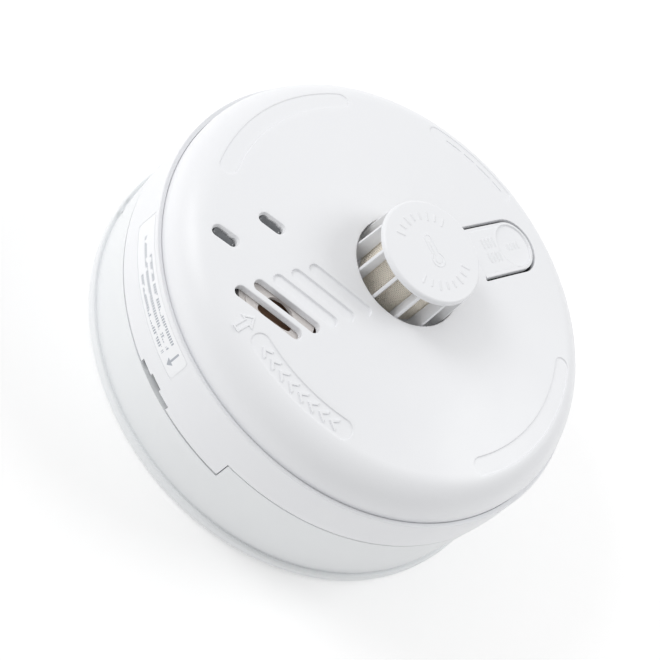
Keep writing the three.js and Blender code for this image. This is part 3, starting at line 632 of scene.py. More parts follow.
def copy_node(node, name, material):
    """A merged copy of a CAD node's mesh, to build on."""
    source = NODES[node].data
    verts = np.array([v.co for v in source.vertices]) / MM
    return make_object(name, verts, [tuple(p.vertices) for p in source.polygons], material)


print("helpers ready")

# %% [markdown]
# ## The front cover
# The cover is one moulding: a crowned face that turns down through a fillet into the side wall. It has a
# round hole for the sensor cage, five slanted sounder slots of which two go through, two stepped windows
# for the lamps, a thin gap round the test button's tongue and shallow beds for markings.

# %% Features of the face
SLANT = math.radians(-58)
HOLE_R = 16.65
SLOT_XS = -48.8 + 5.95 * np.arange(5)
GAP_HALF = 0.45
HINGE_X = 27.8
TIP_X = 46.2
GAP_MIDDLE = 8.35
SHEET_R = 64.0
WINDOW_LENGTH = 4.5

cage_hole = Circle((0, 0), HOLE_R)
sounder_slots = [Slot((x, 0), 17.5, 1.7, SLANT) for x in SLOT_XS]
open_slots, blind_slots = sounder_slots[:2], sounder_slots[2:]
windows = {"green_window": Slot((-35.0, 23.1), WINDOW_LENGTH, 1.45, SLANT),
           "red_window": Slot((-49.8, 23.2), WINDOW_LENGTH, 1.45, SLANT)}
tongue_line = np.concatenate([
    line_points((HINGE_X, -GAP_MIDDLE), (TIP_X, -GAP_MIDDLE), 50),
    arc_points((TIP_X, 0), GAP_MIDDLE, -math.pi / 2, math.pi / 2, 0.7), [[HINGE_X, GAP_MIDDLE]]])
tongue_gap = Path(tongue_line, GAP_HALF)
beds = [ArcSlot(56.95, 2.65, 78.9, 131.9), ArcSlot(56.95, 2.65, 264.9, 317.5),
        ArcSlot(55.3, 2.9, 187.5, 219.1), ArcSlot(57.4, 2.5, 16.8, 44.5)]

EDGE = rounded_edge(0.3)
WINDOW_EDGE = [(0.55, 0.0), (0.47, 0.03), (0.4, 0.12), (0.08, 0.72), (0.0, 0.85)]
SLOT_POCKET = pocket_edge(0.65, 0.1, 0.12)
BED_POCKET = pocket_edge(0.32, 0.1, 0.14)
reliefs = [(cage_hole, EDGE), (tongue_gap, EDGE)]
reliefs += [(s, EDGE) for s in open_slots] + [(s, SLOT_POCKET) for s in blind_slots]
reliefs += [(w, WINDOW_EDGE) for w in windows.values()] + [(b, BED_POCKET) for b in beds]


def cover_surface(p, wanted=None):
    """Height of the cover's outside at flat points, with every feature's depth taken off."""
    height = dome_height(np.linalg.norm(p, axis=1))
    for feature, profile in wanted or reliefs:
        height = height - profile_depth(profile, feature.distance(p))
    return height


def slope_normals(p, surface):
    """Exact upward normals of a height function, by small differences."""
    step = 0.01
    east = surface(p + [step, 0]) - surface(p - [step, 0])
    north = surface(p + [0, step]) - surface(p - [0, step])
    normal = np.stack([-east / (2 * step), -north / (2 * step), np.ones(len(p))], 1)
    return normal / np.linalg.norm(normal, axis=1)[:, None]


print("features of the face", len(reliefs))

# %% [markdown]
# The hole for the tongue is bounded by the outer side of the gap and, at the root, by the hinge line, where
# the button's surface runs on without a step.

# %% The hole for the tongue
HINGE_SLIT = 0.03


def tongue_hole():
    """Outline of the cover's hole for the button."""
    outer, half = GAP_MIDDLE + GAP_HALF, GAP_HALF
    return np.concatenate([
        line_points((HINGE_X, outer), (TIP_X, outer), 1.2),
        arc_points((TIP_X, 0), outer, math.pi / 2, -math.pi / 2, 0.5),
        line_points((TIP_X, -outer), (HINGE_X, -outer), 1.2)[1:],
        arc_points((HINGE_X, -GAP_MIDDLE), half, -math.pi / 2, -3 * math.pi / 2, 0.1),
        line_points((HINGE_X, -GAP_MIDDLE + half), (HINGE_X, GAP_MIDDLE - half), 1.0)[1:],
        arc_points((HINGE_X, GAP_MIDDLE), half, 3 * math.pi / 2, math.pi / 2, 0.1)[:-1]])


def tongue_side(offset, step=0.5):
    """A loop round the whole gap at a distance outside it, on the cover's side."""
    outer, half = GAP_MIDDLE + GAP_HALF + offset, GAP_HALF + offset
    return np.concatenate([
        line_points((HINGE_X, outer), (TIP_X, outer), 1.2),
        arc_points((TIP_X, 0), outer, math.pi / 2, -math.pi / 2, step),
        line_points((TIP_X, -outer), (HINGE_X, -outer), 1.2)[1:],
        arc_points((HINGE_X, -GAP_MIDDLE), half, -math.pi / 2, -math.pi, 0.1),
        line_points((HINGE_X - half, -GAP_MIDDLE), (HINGE_X - half, GAP_MIDDLE), 1.0)[1:],
        arc_points((HINGE_X, GAP_MIDDLE), half, math.pi, math.pi / 2, 0.1)[:-1]])


def inside_tongue_hole(p):
    r = np.where(p[:, 0] > TIP_X, np.hypot(p[:, 0] - TIP_X, p[:, 1]), np.abs(p[:, 1]))
    return ((p[:, 0] > HINGE_X) & (r < GAP_MIDDLE + GAP_HALF)) | (tongue_gap.distance(p) < 0)


print("points round the tongue's hole", len(tongue_hole()))

# %% [markdown]
# The face is a sheet out to a radius near the edge. A staggered grid fills its middle and rings of points
# fill its border, which turns on into the fillet, the side wall and the foot.

# %% Build the front cover
GRID_PITCH, GRID_R = 1.7, 55.5
RIM_RINGS = np.arange(56.5, SHEET_R - 0.3, 0.75)


def fillet_points(r, count):
    """Profile points of the fillet, from the side wall up to where it meets the sheet."""
    turns = np.linspace(0, math.acos((SHEET_R - FILLET_CENTRE_R) / r), count)
    return [(FILLET_CENTRE_R + r * math.cos(t), FILLET_CENTRE_Z + r * math.sin(t)) for t in turns]


def front_cover():
    spacing = [([cage_hole], EDGE, 0.9), (open_slots, EDGE, 0.3), (windows.values(), WINDOW_EDGE, 0.25),
               (blind_slots, SLOT_POCKET, 0.3), (beds, BED_POCKET, 0.35)]
    loops = [circle_loop(SHEET_R, 256)]
    loops += [f.loop(d, step) for group, profile, step in spacing for f in group for d, _ in profile]
    loops += [tongue_hole()] + [tongue_side(d) for d, _ in EDGE[:-1]]
    features = [f for f, _ in reliefs]
    grid = near_grid((-SHEET_R, -SHEET_R), (SHEET_R, SHEET_R), GRID_PITCH, features)
    grid = grid[(np.linalg.norm(grid, axis=1) < GRID_R) & ~inside_tongue_hole(grid)]
    rim = np.concatenate([circle_loop(r, 256) for r in RIM_RINGS])
    for feature in features:
        rim = rim[np.abs(feature.distance(rim)) > 0.4]

    def keep(p):
        solid = (np.linalg.norm(p, axis=1) < SHEET_R) & (cage_hole.distance(p) > 0) & ~inside_tongue_hole(p)
        for hole in open_slots + list(windows.values()):
            solid &= hole.distance(p) > 0
        return solid

    flat, faces = triangulate(loops, np.concatenate([grid, rim]), keep)
    r = np.linalg.norm(flat, axis=1)
    top = np.column_stack([flat, cover_surface(flat)])
    under = np.column_stack([flat, dome_height(r, SKIN)])
    build = Build()
    build.thick(flat, faces, top, under, skip=lambda a, b: min(np.hypot(*a), np.hypot(*b)) > SHEET_R - 0.01)
    outside, inside = fillet_points(FILLET_R, 12), fillet_points(FILLET_R - SKIN, 8)[::-1]
    foot = [(DOME_R - SKIN, SEAT_Z), (DOME_R - 0.2, SEAT_Z), (DOME_R, SEAT_Z + 0.2)]
    build.rings(inside + foot + outside)
    cover = build.object("front_cover_moulding", white_abs)

    def exact(places, normals, facets):
        p, z = places[:, :2], places[:, 2]
        r = np.linalg.norm(p, axis=1)
        on_top = (normals[:, 2] > 0.05) & (r < SHEET_R + 0.01) & (r > HOLE_R - 0.01)
        on_top &= np.abs(z - cover_surface(p)) < 0.02
        normals[on_top] = slope_normals(p[on_top], cover_surface)
        arc = (r > SHEET_R - 0.01) & (z > FILLET_CENTRE_Z) & (normals[:, 2] > -0.2)
        arc &= (p * normals[:, :2]).sum(1) > 0
        out = p[arc] / r[arc][:, None]
        true = np.column_stack([out * (r[arc] - FILLET_CENTRE_R)[:, None], z[arc] - FILLET_CENTRE_Z])
        normals[arc] = true / np.linalg.norm(true, axis=1)[:, None]
        return normals

    corner_normals(cover.data, exact)
    return cover


cover = report(front_cover())
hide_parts("front_cover")
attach(cover, "alarm_head")

# %% [markdown]
# ## Turned bodies and repeats
# A turned moulding is a profile swept about the axis. Holes and cut-outs are taken out of it afterwards,
# which leaves long thin faces, so its corner normals are laid back into the plane through the axis. Things
# that repeat are copied by one Geometry Nodes tree that puts an instance on each point with its own turn.

# %% Turned profiles and their normals


def radial_normals(places, normals, facets, centre=(0, 0)):
    """Takes the sideways part out of normals on faces that belong to a turned surface."""
    rel = places[:, :2] - centre
    r = np.maximum(np.linalg.norm(rel, axis=1), 1e-6)
    side = np.column_stack([-rel[:, 1] / r, rel[:, 0] / r, np.zeros(len(r))])
    turned = (np.abs((facets * side).sum(1)) < 0.03) & (r > 1)
    flat = normals - (normals * side).sum(1)[:, None] * side
    flat /= np.maximum(np.linalg.norm(flat, axis=1), 1e-9)[:, None]
    normals[turned] = flat[turned]
    return normals


def arc_profile(centre, r, start, end, steps=5):
    """Points of an arc in a [radius, height] profile, angles in degrees."""
    return [(centre[0] + r * math.cos(math.radians(a)), centre[1] + r * math.sin(math.radians(a)))
            for a in np.linspace(start, end, steps)]


print("points of a rounded corner", len(arc_profile((0, 0), 1, 0, 90)))

# %% [markdown]
# Closed bodies serve as cutters and as parts that are joined: prisms, boxes, posts, turned bodies and tubes.
# A turned body off the axis can also have heights that follow the dome.

# %% Closed bodies
OFF_AXIS = [0.31, 0.22, 0.92]


class Solid(Build):
    """A Build with simple closed bodies, for cutters and for bodies that are joined."""

    def prism(self, outline, z0, z1):
        count = len(outline)
        outline = np.asarray(outline, float)
        low, high = [np.column_stack([outline, [z] * count]) for z in (z0, z1)]
        sides = [(i, (i + 1) % count, count + (i + 1) % count, count + i) for i in range(count)]
        self.add(np.concatenate([low, high]),
                 [tuple(range(count - 1, -1, -1)), tuple(range(count, 2 * count))] + sides)
        return self

    def box(self, x, y, z):
        x, y, z = sorted(x), sorted(y), sorted(z)
        return self.prism([(x[0], y[0]), (x[1], y[0]), (x[1], y[1]), (x[0], y[1])], z[0], z[1])

    def post(self, centre, z, r, steps=32):
        return self.prism(circle_loop(r, steps, centre), z[0], z[1])

    def turned(self, profile, steps=256, closed=False, centre=(0, 0)):
        first = len(self.verts)
        self.rings(profile, steps, closed)
        self.verts[first] = self.verts[first] + [centre[0], centre[1], 0]
        return self

    def turned_to_dome(self, profile, steps, centre, inset, closed=False):
        """A turned body off the axis; a height of None follows the dome, inset under it."""
        rows = []
        for r, z in profile:
            loop = circle_loop(r, steps, centre)
            height = dome_height(np.linalg.norm(loop, axis=1), inset) if z is None else z
            rows.append(np.column_stack([loop, np.broadcast_to(height, steps)]))
        self.add(np.concatenate(rows), ring_faces(len(rows), steps, closed))
        return self

    def tube(self, points, r, steps=8, closed=False):
        """A round tube along points, with flat ends unless it closes on itself."""
        points = np.asarray(points, float)
        after, before = np.roll(points, -1, 0), np.roll(points, 1, 0)
        if not closed:
            after[-1], before[0] = points[-1], points[0]
        along = after - before
        along /= np.linalg.norm(along, axis=1)[:, None]
        across = np.cross(along[0], OFF_AXIS)
        rows = []
        for i in range(len(points)):
            across = across - (across @ along[i]) * along[i]
            across /= np.linalg.norm(across)
            other = np.cross(along[i], across)
            turns = np.arange(steps) * 2 * math.pi / steps
            rows.append(points[i] + r * (np.cos(turns)[:, None] * across + np.sin(turns)[:, None] * other))
        count = len(points)
        faces = ring_faces(count, steps, closed)
        if not closed:
            faces += [tuple(range(steps - 1, -1, -1)), tuple(range((count - 1) * steps, count * steps))]
        self.add(np.concatenate(rows), faces)
        return self


def along_x(build, outline, x0, x1):
    """A prism whose outline is drawn in Y and Z."""
    first = len(build.verts)
    build.prism(outline, x0, x1)
    build.verts[first] = build.verts[first][:, [2, 0, 1]]
    return build


print("faces of a box", len(Solid().box((0, 1), (0, 1), (0, 1)).faces))

# %% [markdown]
# ### Cutting, joining and finishing
# Bodies are cut and joined, cleaned of fine cracks, given one material, and then settled: their normals,
# the CAD nodes they stand for and the body they ride on. Parts that keep the CAD's shape are
# bevelled.

# %% Cutting, joining and finishing


def cut(obj, tool):
    """Takes a closed body out of an object."""
    return boolean(obj, tool.object("cutter", plate_abs), "DIFFERENCE")


def join(obj, tool):
    """Adds a closed body to an object."""
    return boolean(obj, tool.object("joined", plate_abs), "UNION")


def meet(obj, tool):
    """Keeps what an object and a closed body share."""
    return boolean(obj, tool.object("meeting", plate_abs), "INTERSECT")


def painted(obj, material):
    """Leaves one material on an object that was cut or joined, and closes its finest cracks."""
    work = bmesh.new()
    work.from_mesh(obj.data)
    bmesh.ops.remove_doubles(work, verts=work.verts, dist=2e-6)
    bmesh.ops.dissolve_degenerate(work, edges=work.edges, dist=1e-6)
    bmesh.ops.holes_fill(work, edges=[e for e in work.edges if e.is_boundary], sides=6)
    work.to_mesh(obj.data)
    work.free()
    obj.data.materials.clear()
    obj.data.materials.append(material)
    return obj


def settle(obj, nodes, body, exact=radial_normals, limit=32.0):
    """Normals, the CAD nodes it stands for and the body it rides on."""
    corner_normals(obj.data, exact, limit)
    if nodes:
        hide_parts(*nodes)
    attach(obj, body)
    return report(obj)


def soften(obj, width, limit=30.0, steps=2):
    """Rounds every edge of an object that is sharper than the limit."""
    work = bmesh.new()
    work.from_mesh(obj.data)
    bmesh.ops.dissolve_limit(work, angle_limit=0.01, verts=work.verts, edges=work.edges)
    sharp = [e for e in work.edges if len(e.link_faces) == 2 and e.calc_face_angle(0) > math.radians(limit)]
    bmesh.ops.bevel(work, geom=sharp, offset=width * MM, segments=steps, profile=0.5, affect="EDGES",
                    clamp_overlap=True)
    bmesh.ops.remove_doubles(work, verts=work.verts, dist=1e-7)
    bmesh.ops.dissolve_degenerate(work, edges=work.edges, dist=1e-8)
    bmesh.ops.triangulate(work, faces=[f for f in work.faces if len(f.verts) > 4])
    work.to_mesh(obj.data)
    work.free()
    return obj


print("cutting, joining and finishing ready")

# %% [markdown]
# ### Repeats
# Ribs, wires, screws and marks repeat. One Geometry Nodes tree puts an instance of a piece on every point,
# turned by the point's own rotation. Its result is kept as a plain mesh.

# %% The Geometry Nodes tree for repeats


def copies_tree():
    """Puts an instance on every point, turned by the point's own rotation, and gives it a material."""
    tree = bpy.data.node_groups.new("copies", "GeometryNodeTree")
    for name, kind, side in (("Points", "NodeSocketGeometry", "INPUT"),
                             ("Piece", "NodeSocketObject", "INPUT"),
                             ("Finish", "NodeSocketMaterial", "INPUT"),
                             ("Copies", "NodeSocketGeometry", "OUTPUT")):
        tree.interface.new_socket(name, socket_type=kind, in_out=side)
    start = add_node(tree, "NodeGroupInput")
    piece = add_node(tree, "GeometryNodeObjectInfo", {"Object": start.outputs["Piece"]})
    turned = add_node(tree, "GeometryNodeInputNamedAttribute", {"Name": "turn"}, data_type="FLOAT_VECTOR")
    placed = add_node(tree, "GeometryNodeInstanceOnPoints", {
        "Points": start.outputs["Points"], "Instance": piece.outputs["Geometry"],
        "Rotation": turned.outputs["Attribute"]})
    real = add_node(tree, "GeometryNodeRealizeInstances", {"Geometry": placed.outputs["Instances"]})
    finish = add_node(tree, "GeometryNodeSetMaterial", {
        "Geometry": real.outputs["Geometry"], "Material": start.outputs["Finish"]})
    end = add_node(tree, "NodeGroupOutput")
    tree.links.new(finish.outputs["Geometry"], end.inputs["Copies"])
    return tree


COPIES = copies_tree()
SOCKETS = {item.name: item.identifier for item in COPIES.interface.items_tree if item.in_out == "INPUT"}


def copies(name, piece, places, turns, material):
    """One object with a copy of piece at every place (mm), turned by each Euler triple; piece is used up."""
    mesh = bpy.data.meshes.new(name)
    mesh.from_pydata((np.asarray(places, float) * MM).tolist(), [], [])
    turn_values = mesh.attributes.new("turn", "FLOAT_VECTOR", "POINT")
    turn_values.data.foreach_set("vector", np.asarray(turns, float).ravel())
    obj = bpy.data.objects.new(name, mesh)
    bpy.context.scene.collection.objects.link(obj)
    modifier = obj.modifiers.new("copies", "NODES")
    modifier.node_group = COPIES
    modifier[SOCKETS["Piece"]] = piece
    modifier[SOCKETS["Finish"]] = material
    made = bpy.data.meshes.new_from_object(obj.evaluated_get(bpy.context.evaluated_depsgraph_get()))
    obj.modifiers.clear()
    obj.data = made
    bpy.data.objects.remove(piece)
    return obj


print("inputs of the copies tree", list(SOCKETS))

# %% [markdown]
# ## The rest of the cover
# Four hollow pillars under the cover take the housing screws. They reach up into the skin of the dome, and
# each top follows the dome's slope.

# %% Cover pillars
BOSS_RING_R, BOSS_R, PILOT_R, PILOT_TOP_Z = 58.5, 3.6, 1.5, 43.5
BOSS_PLACES = [(BOSS_RING_R * math.cos(a), BOSS_RING_R * math.sin(a))
               for a in np.radians([45, 135, 225, 315])]


def cover_pillars():
    profile = [(0, PILOT_TOP_Z), (PILOT_R, PILOT_TOP_Z), (PILOT_R, SEAT_Z + 0.4),
               (PILOT_R + 0.3, SEAT_Z + 0.2), (BOSS_R - 0.3, SEAT_Z + 0.2), (BOSS_R, SEAT_Z + 0.5),
               (BOSS_R, None), (0, None)]
    build = Solid()
    for centre in BOSS_PLACES:
        build.turned_to_dome(profile, 40, centre, 1.0)
    return build.object("cover_pillars", white_abs)


settle(cover_pillars(), [], "alarm_head", exact=None)

# %% [markdown]
# ## Markings on the cover
# The beds carry raised marks. A row of arrow heads along the lower left bed points along the way to the
# catch, short bars fill the upper right bed, and an outlined arrow stands on the face beside the slots. The
# marks stand 0.2 to 0.3 mm above what they lie on, as mould engraving does.

# %% Raised marks
MARK_FOOT = -0.1


def raised(name, outline_loops, height, material, ease=0.08):
    """A flat mark with a sloped edge, from an outer outline and optional inner ones, standing on z = 0."""

    def shrink(loop, d):
        ahead, back = np.roll(loop, -1, 0) - loop, loop - np.roll(loop, 1, 0)
        ahead, back = [v / np.linalg.norm(v, axis=1)[:, None] for v in (ahead, back)]
        normal = np.column_stack([-(ahead + back)[:, 1], (ahead + back)[:, 0]])
        normal /= np.linalg.norm(normal, axis=1)[:, None]
        reach = 1 / np.maximum((normal * np.column_stack([-ahead[:, 1], ahead[:, 0]])).sum(1), 0.4)
        return loop + normal * (d * reach)[:, None]

    build = Solid()
    tops = [shrink(loop, ease) for loop in outline_loops]
    for loop, top in zip(outline_loops, tops):
        levels = ((loop, MARK_FOOT), (loop, height - ease), (top, height))
        rings = [np.column_stack([points, np.full(len(loop), z)]) for points, z in levels]
        build.add(np.concatenate(rings), ring_faces(len(rings), len(loop)))
    flat, faces = fill_loops(tops)
    low, low_faces = fill_loops(outline_loops)
    build.add(np.column_stack([flat, np.full(len(flat), height)]), faces)
    build.add(np.column_stack([low, np.full(len(low), MARK_FOOT)]), low_faces[:, ::-1])
    return build.object(name, material)


def on_face(p, depth=0.0):
    """Place and turn of a mark that lies on the face at flat point p, sunk by depth, facing outwards."""
    r = math.hypot(*p)
    heading = math.atan2(p[1], p[0])
    tilt = math.atan(2 * FACE_DROP * r / FACE_EDGE_R ** 2)
    return (p[0], p[1], float(dome_height(r)) - depth), tilt, heading


def face_turn(p, spin=0.0):
    """Euler turn that lays a mark on the sloping face, spun by an angle about its own axis."""
    place, tilt, heading = on_face(p)
    lean = Matrix.Rotation(heading, 3, "Z") @ Matrix.Rotation(tilt, 3, "Y")
    return tuple((lean @ Matrix.Rotation(spin - heading, 3, "Z")).to_euler())


def row_on_bed(name, piece, r, degrees, spin, depth, material):
    """Copies of a mark along a bent bed, at angles in degrees, sunk by depth under the face."""
    points = [(r * math.cos(math.radians(a)), r * math.sin(math.radians(a))) for a in degrees]
    places = [on_face(p, depth)[0] for p in points]
    turns = [face_turn(p, math.radians(a) + spin) for p, a in zip(points, degrees)]
    return copies(name, piece, places, turns, material)


print("a mark 50 mm out leans by", round(math.degrees(on_face((50, 0))[1]), 1), "degrees")

# %% [markdown]
# The arrow heads and the bars lie on the floor of their beds. The arrow is an outline, so it has a second,
# inner loop.

# %% Place the marks
chevron = np.array([(-1.9, -1.0), (-1.0, -1.0), (0, 0.35), (1.0, -1.0), (1.9, -1.0), (0, 1.55)])
bar = np.array([(-0.22, -1.1), (0.22, -1.1), (0.22, 1.1), (-0.22, 1.1)])
BED_FLOOR = 0.3
chevron_angles = np.linspace(190.2, 216.2, 8)
bar_angles = [19.3, 21.0, 24.4, 26.1, 27.8, 31.2, 32.9, 36.3, 38.0, 39.7]
slide_marks = row_on_bed("slide_arrows", raised("chevron", [chevron], 0.3, white_abs), beds[2].r,
                         chevron_angles, math.pi, BED_FLOOR, white_abs)
settle(slide_marks, [], "alarm_head", exact=None)
bar_marks = row_on_bed("bed_bars", raised("bar", [bar], 0.22, white_abs), beds[3].r,
                       bar_angles, 0.0, BED_FLOOR, white_abs)
settle(bar_marks, [], "alarm_head", exact=None)

ARROW_SIZE, ARROW_PLACE, ARROW_SPIN = 1.45, (-56.6, -0.9), math.radians(10)
arrow_outline = ARROW_SIZE * np.array([
    (-2.3, -0.75), (0.3, -0.75), (0.3, -1.7), (2.4, 0.0), (0.3, 1.7), (0.3, 0.75), (-2.3, 0.75)])
arrow_hole = ARROW_SIZE * np.array([
    (-1.95, -0.4), (0.65, -0.4), (0.65, -0.95), (1.82, 0.0), (0.65, 0.95), (0.65, 0.4), (-1.95, 0.4)])
arrow = raised("arrow", [arrow_outline, arrow_hole[::-1]], 0.24, white_abs)
arrow_mark = copies("slide_arrow", arrow, [on_face(ARROW_PLACE)[0]], [face_turn(ARROW_PLACE, ARROW_SPIN)],
                    white_abs)
settle(arrow_mark, [], "alarm_head", exact=None)

# %% [markdown]
# ## The test button
# The button is a tongue cut in the cover, with a shallow round dish for a fingertip.
# Its surface is the same dome, less two fine grooves and the dish with its ridge, plus small raised marks.

# %% Build the test button
DISH = Circle((TIP_X, 0.0), 6.85)
BORDER_Y, BORDER_START, BORDER_END = 7.0, 30.5, 44.5
BORDERS = [Path([(BORDER_START, side * BORDER_Y), (BORDER_END, side * BORDER_Y)], 0.1) for side in (-1, 1)]
DISH_STEPS = [(0.55, 0.0), (0.4, -0.07), (0.26, -0.12), (0.08, -0.1), (-0.04, 0.1), (-0.14, 0.36),
              (-0.26, 0.42), (-0.45, 0.4), (-1.2, 0.46), (-3.0, 0.56), (-6.85, 0.62)]
BORDER_STEPS = [(0.25, 0.0), (0.12, 0.06), (0.0, 0.11), (-0.1, 0.12)]
RAISED_STEPS = [(0.12, 0.0), (0.06, -0.05), (-0.04, -0.14), (-0.1, -0.16)]
STEM_X, STEM_R, STEM_TOP_Z = 40.0, 2.4, 52.2
button_marks = [Slot((33.2 + 1.55 * i, s * 2.3), 2.6, 0.22, math.pi / 2) for i in range(4) for s in (-1, 1)]
button_marks += [Slot((43.9 + 1.55 * i, 0.0), 1.6, 0.22, math.pi / 2) for i in range(4)]
button_reliefs = [(tongue_gap, EDGE), (DISH, DISH_STEPS)] + [(border, BORDER_STEPS) for border in BORDERS]


def button_surface(p):
    height = cover_surface(p, button_reliefs)
    lift = np.zeros(len(p))
    for mark in button_marks:
        lift = np.maximum(lift, -profile_depth(RAISED_STEPS, mark.distance(p)))
    return height + lift


def tongue_loop(offset, step=0.45, root=None):
    """The tongue's outline, drawn in by an offset; root is where it starts."""
    half, root = GAP_MIDDLE - GAP_HALF - offset, HINGE_X + HINGE_SLIT if root is None else root
    return np.concatenate([
        line_points((root, half), (root, -half), 1.0), line_points((root, -half), (TIP_X, -half), 1.2),
        arc_points((TIP_X, 0), half, -math.pi / 2, math.pi / 2, step),
        line_points((TIP_X, half), (root, half), 1.2)[1:]])


def test_button():
    outline = tongue_loop(0.0)
    loops = [outline]
    loops += [tongue_loop(d, root=HINGE_X + HINGE_SLIT + 0.01 * (i + 1))
              for i, (d, _) in enumerate(EDGE[:-1])]
    loops += [DISH.loop(d, 0.45) for d, _ in DISH_STEPS[:-1]]
    loops += [mark.loop(d, 0.12) for mark in button_marks for d, _ in RAISED_STEPS[:-1]]
    features = [tongue_gap, DISH] + button_marks
    grid = near_grid((HINGE_X, -9), (55, 9), 0.55, features, 0.28)
    grid = grid[inside_loops(grid, [tongue_loop(0.35)])]
    lines = [line_points((BORDER_START, y), (BORDER_END, y), 0.5) for side in (-1, 1)
             for y in side * (BORDER_Y + np.array([-0.25, -0.1, 0.0, 0.1, 0.25]))]
    lines = [line[np.abs(DISH.distance(line)) > 0.3] for line in lines]
    grid = grid[np.minimum(*[border.distance(grid) for border in BORDERS]) > 0.25]
    flat, faces = triangulate(loops, np.concatenate([grid] + lines), lambda p: inside_loops(p, [outline]))
    r = np.linalg.norm(flat, axis=1)
    build = Build()
    build.thick(flat, faces, np.column_stack([flat, button_surface(flat)]),
                np.column_stack([flat, dome_height(r, SKIN)]))
    button = build.object("test_button_tongue", white_abs)
    stem = [(0, STEM_Z), (STEM_R - 0.3, STEM_Z), (STEM_R, STEM_Z + 0.3), (STEM_R, STEM_TOP_Z),
            (0, STEM_TOP_Z)]
    button = join(button, Solid().turned(stem, 48, centre=(STEM_X, 0.0)))

    def exact(places, normals, facets):
        p = places[:, :2]
        top = (normals[:, 2] > 0.2) & (np.abs(places[:, 2] - button_surface(p)) < 0.01)
        normals[top] = slope_normals(p[top], button_surface)
        return normals

    return button, exact


button, button_normals = test_button()
corner_normals(button.data, button_normals)
button.data.materials.clear()
button.data.materials.append(white_abs)
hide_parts("test_button")
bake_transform(button)
report(button)

# %% [markdown]
# ## Lamp windows
# The smoked windows are light guides glued behind the cover. Each shows as a rounded bar at the bottom of
# its stepped opening.

# %% Windows


def lens(node):
    outline = Slot(windows[node].centre, WINDOW_LENGTH, 1.2, SLANT)
    low, high = corners(node)
    steps = [(0.0, 0.45), (-0.12, 0.28), (-0.3, 0.13), (-0.6, 0.04), (-1.0, 0.0)]
    loops = [outline.loop(d, 0.25) for d, _ in steps]
    flat, faces = triangulate(loops, np.zeros((0, 2)), lambda p: outline.distance(p) < 0)
    top = high[2] - profile_depth(steps, outline.distance(flat))
    build = Build()
    under = np.full(len(flat), low[2])
    build.thick(flat, faces, np.column_stack([flat, top]), np.column_stack([flat, under]))
    return build.object(node + "_light_guide", smoked)


for node in windows:
    settle(lens(node), [node], "alarm_head", exact=None, limit=50)

# %% [markdown]
# ## The sensor cage
# A crowned cap stands on twelve thin ribs over the heat sensor. The cap and the ribs are one moulding with
# the foot ring behind the cover, and the woven screen slips inside the ribs. The cap bears a ring of short
# ticks and a small thermometer, engraved in the mould so that they stand up from the cap.

# %% Cap marks
CAP_R, CAP_EDGE, CAP_Z = 15.8, 13.6, 65.2
CROWN_Z, CROWN_DROP = 67.34, 0.28
TICK_RING_R, OUTLINE_HALF = 10.6, 0.16
cap_ticks = []
for middle in (90, 270):
    for offset in np.arange(-49, 50, 14.0):
        a = math.radians(middle + offset)
        length = 2.4 if abs(offset) % 28 > 20 else 1.7
        cap_ticks.append(Slot((TICK_RING_R * math.cos(a), TICK_RING_R * math.sin(a)), length, 0.24, a))
thermometer = [Slot((0.0, 0.9), 5.6, 1.15, math.pi / 2), Circle((0.0, -2.9), 2.1)]
thermometer_core = [Slot((0.0, 0.2), 4.6, 0.42, math.pi / 2), Circle((0.0, -2.9), 1.15)]


def joined_distance(p, shapes):
    """Distance from the outline that several shapes make together."""
    return np.minimum.reduce([shape.distance(p) for shape in shapes])


def thermometer_edge(p):
    """How far points are from the nearer of the thermometer's two outlines."""
    return np.minimum(*[np.abs(joined_distance(p, shapes)) for shapes in (thermometer, thermometer_core)])


def cap_surface(p):
    """The crowned cap with its raised marks; the thermometer is a raised outline round a raised core."""
    height = CROWN_Z - CROWN_DROP * (np.linalg.norm(p, axis=1) / CAP_EDGE) ** 2
    wall = np.abs(joined_distance(p, thermometer)) - OUTLINE_HALF
    marks = [tick.distance(p) for tick in cap_ticks] + [wall, joined_distance(p, thermometer_core)]
    lift = np.zeros(len(p))
    for distance in marks:
        lift = np.maximum(lift, -profile_depth(RAISED_STEPS, distance))
    return height + lift


print("ticks on the cap", len(cap_ticks))

# %% [markdown]
# The cap's top is triangulated like the cover's face, with a finer grid along the thermometer's outlines. A
# rib is one thin wall, copied round. The foot ring lies behind the cover.

# %% Build the cage
RIB_COUNT, CAP_CORNER, RIB_FOOT_Z, RIB_R = 12, 1.1, 48.8, 16.3


def cap_piece():
    rim = circle_loop(CAP_EDGE, 128)
    ticks = [t.loop(d, 0.15) for t in cap_ticks for d, _ in RAISED_STEPS[:-1]]
    grid = near_grid((-14, -14), (14, 14), 0.42, [Circle((0, 0), CAP_EDGE)] + cap_ticks, 0.22)
    grid = grid[np.linalg.norm(grid, axis=1) < CAP_EDGE - 0.2]
    fine = near_grid((-3, -6), (3, 6), 0.13, [])
    fine = fine[thermometer_edge(fine) < 0.4]
    grid = grid[thermometer_edge(grid) > 0.45]
    flat, faces = triangulate([rim] + ticks, np.concatenate([grid, fine]),
                              lambda p: np.linalg.norm(p, axis=1) < CAP_EDGE)
    build = Solid()
    build.add(np.column_stack([flat, cap_surface(flat)]), faces)
    edge_z = float(cap_surface(np.array([[CAP_EDGE, 0.0]]))[0])
    profile = [(0, CAP_Z), (CAP_R - 0.5, CAP_Z)] + arc_profile((CAP_R - 0.35, CAP_Z + 0.35), 0.35, -70, 0, 4)
    profile += arc_profile((CAP_R - CAP_CORNER, edge_z - CAP_CORNER - 0.03), CAP_CORNER, 0, 78, 8)
    profile.append((CAP_EDGE, edge_z))
    build.turned(profile, 128)
    return build.object("sensor_cage_cap", white_abs)


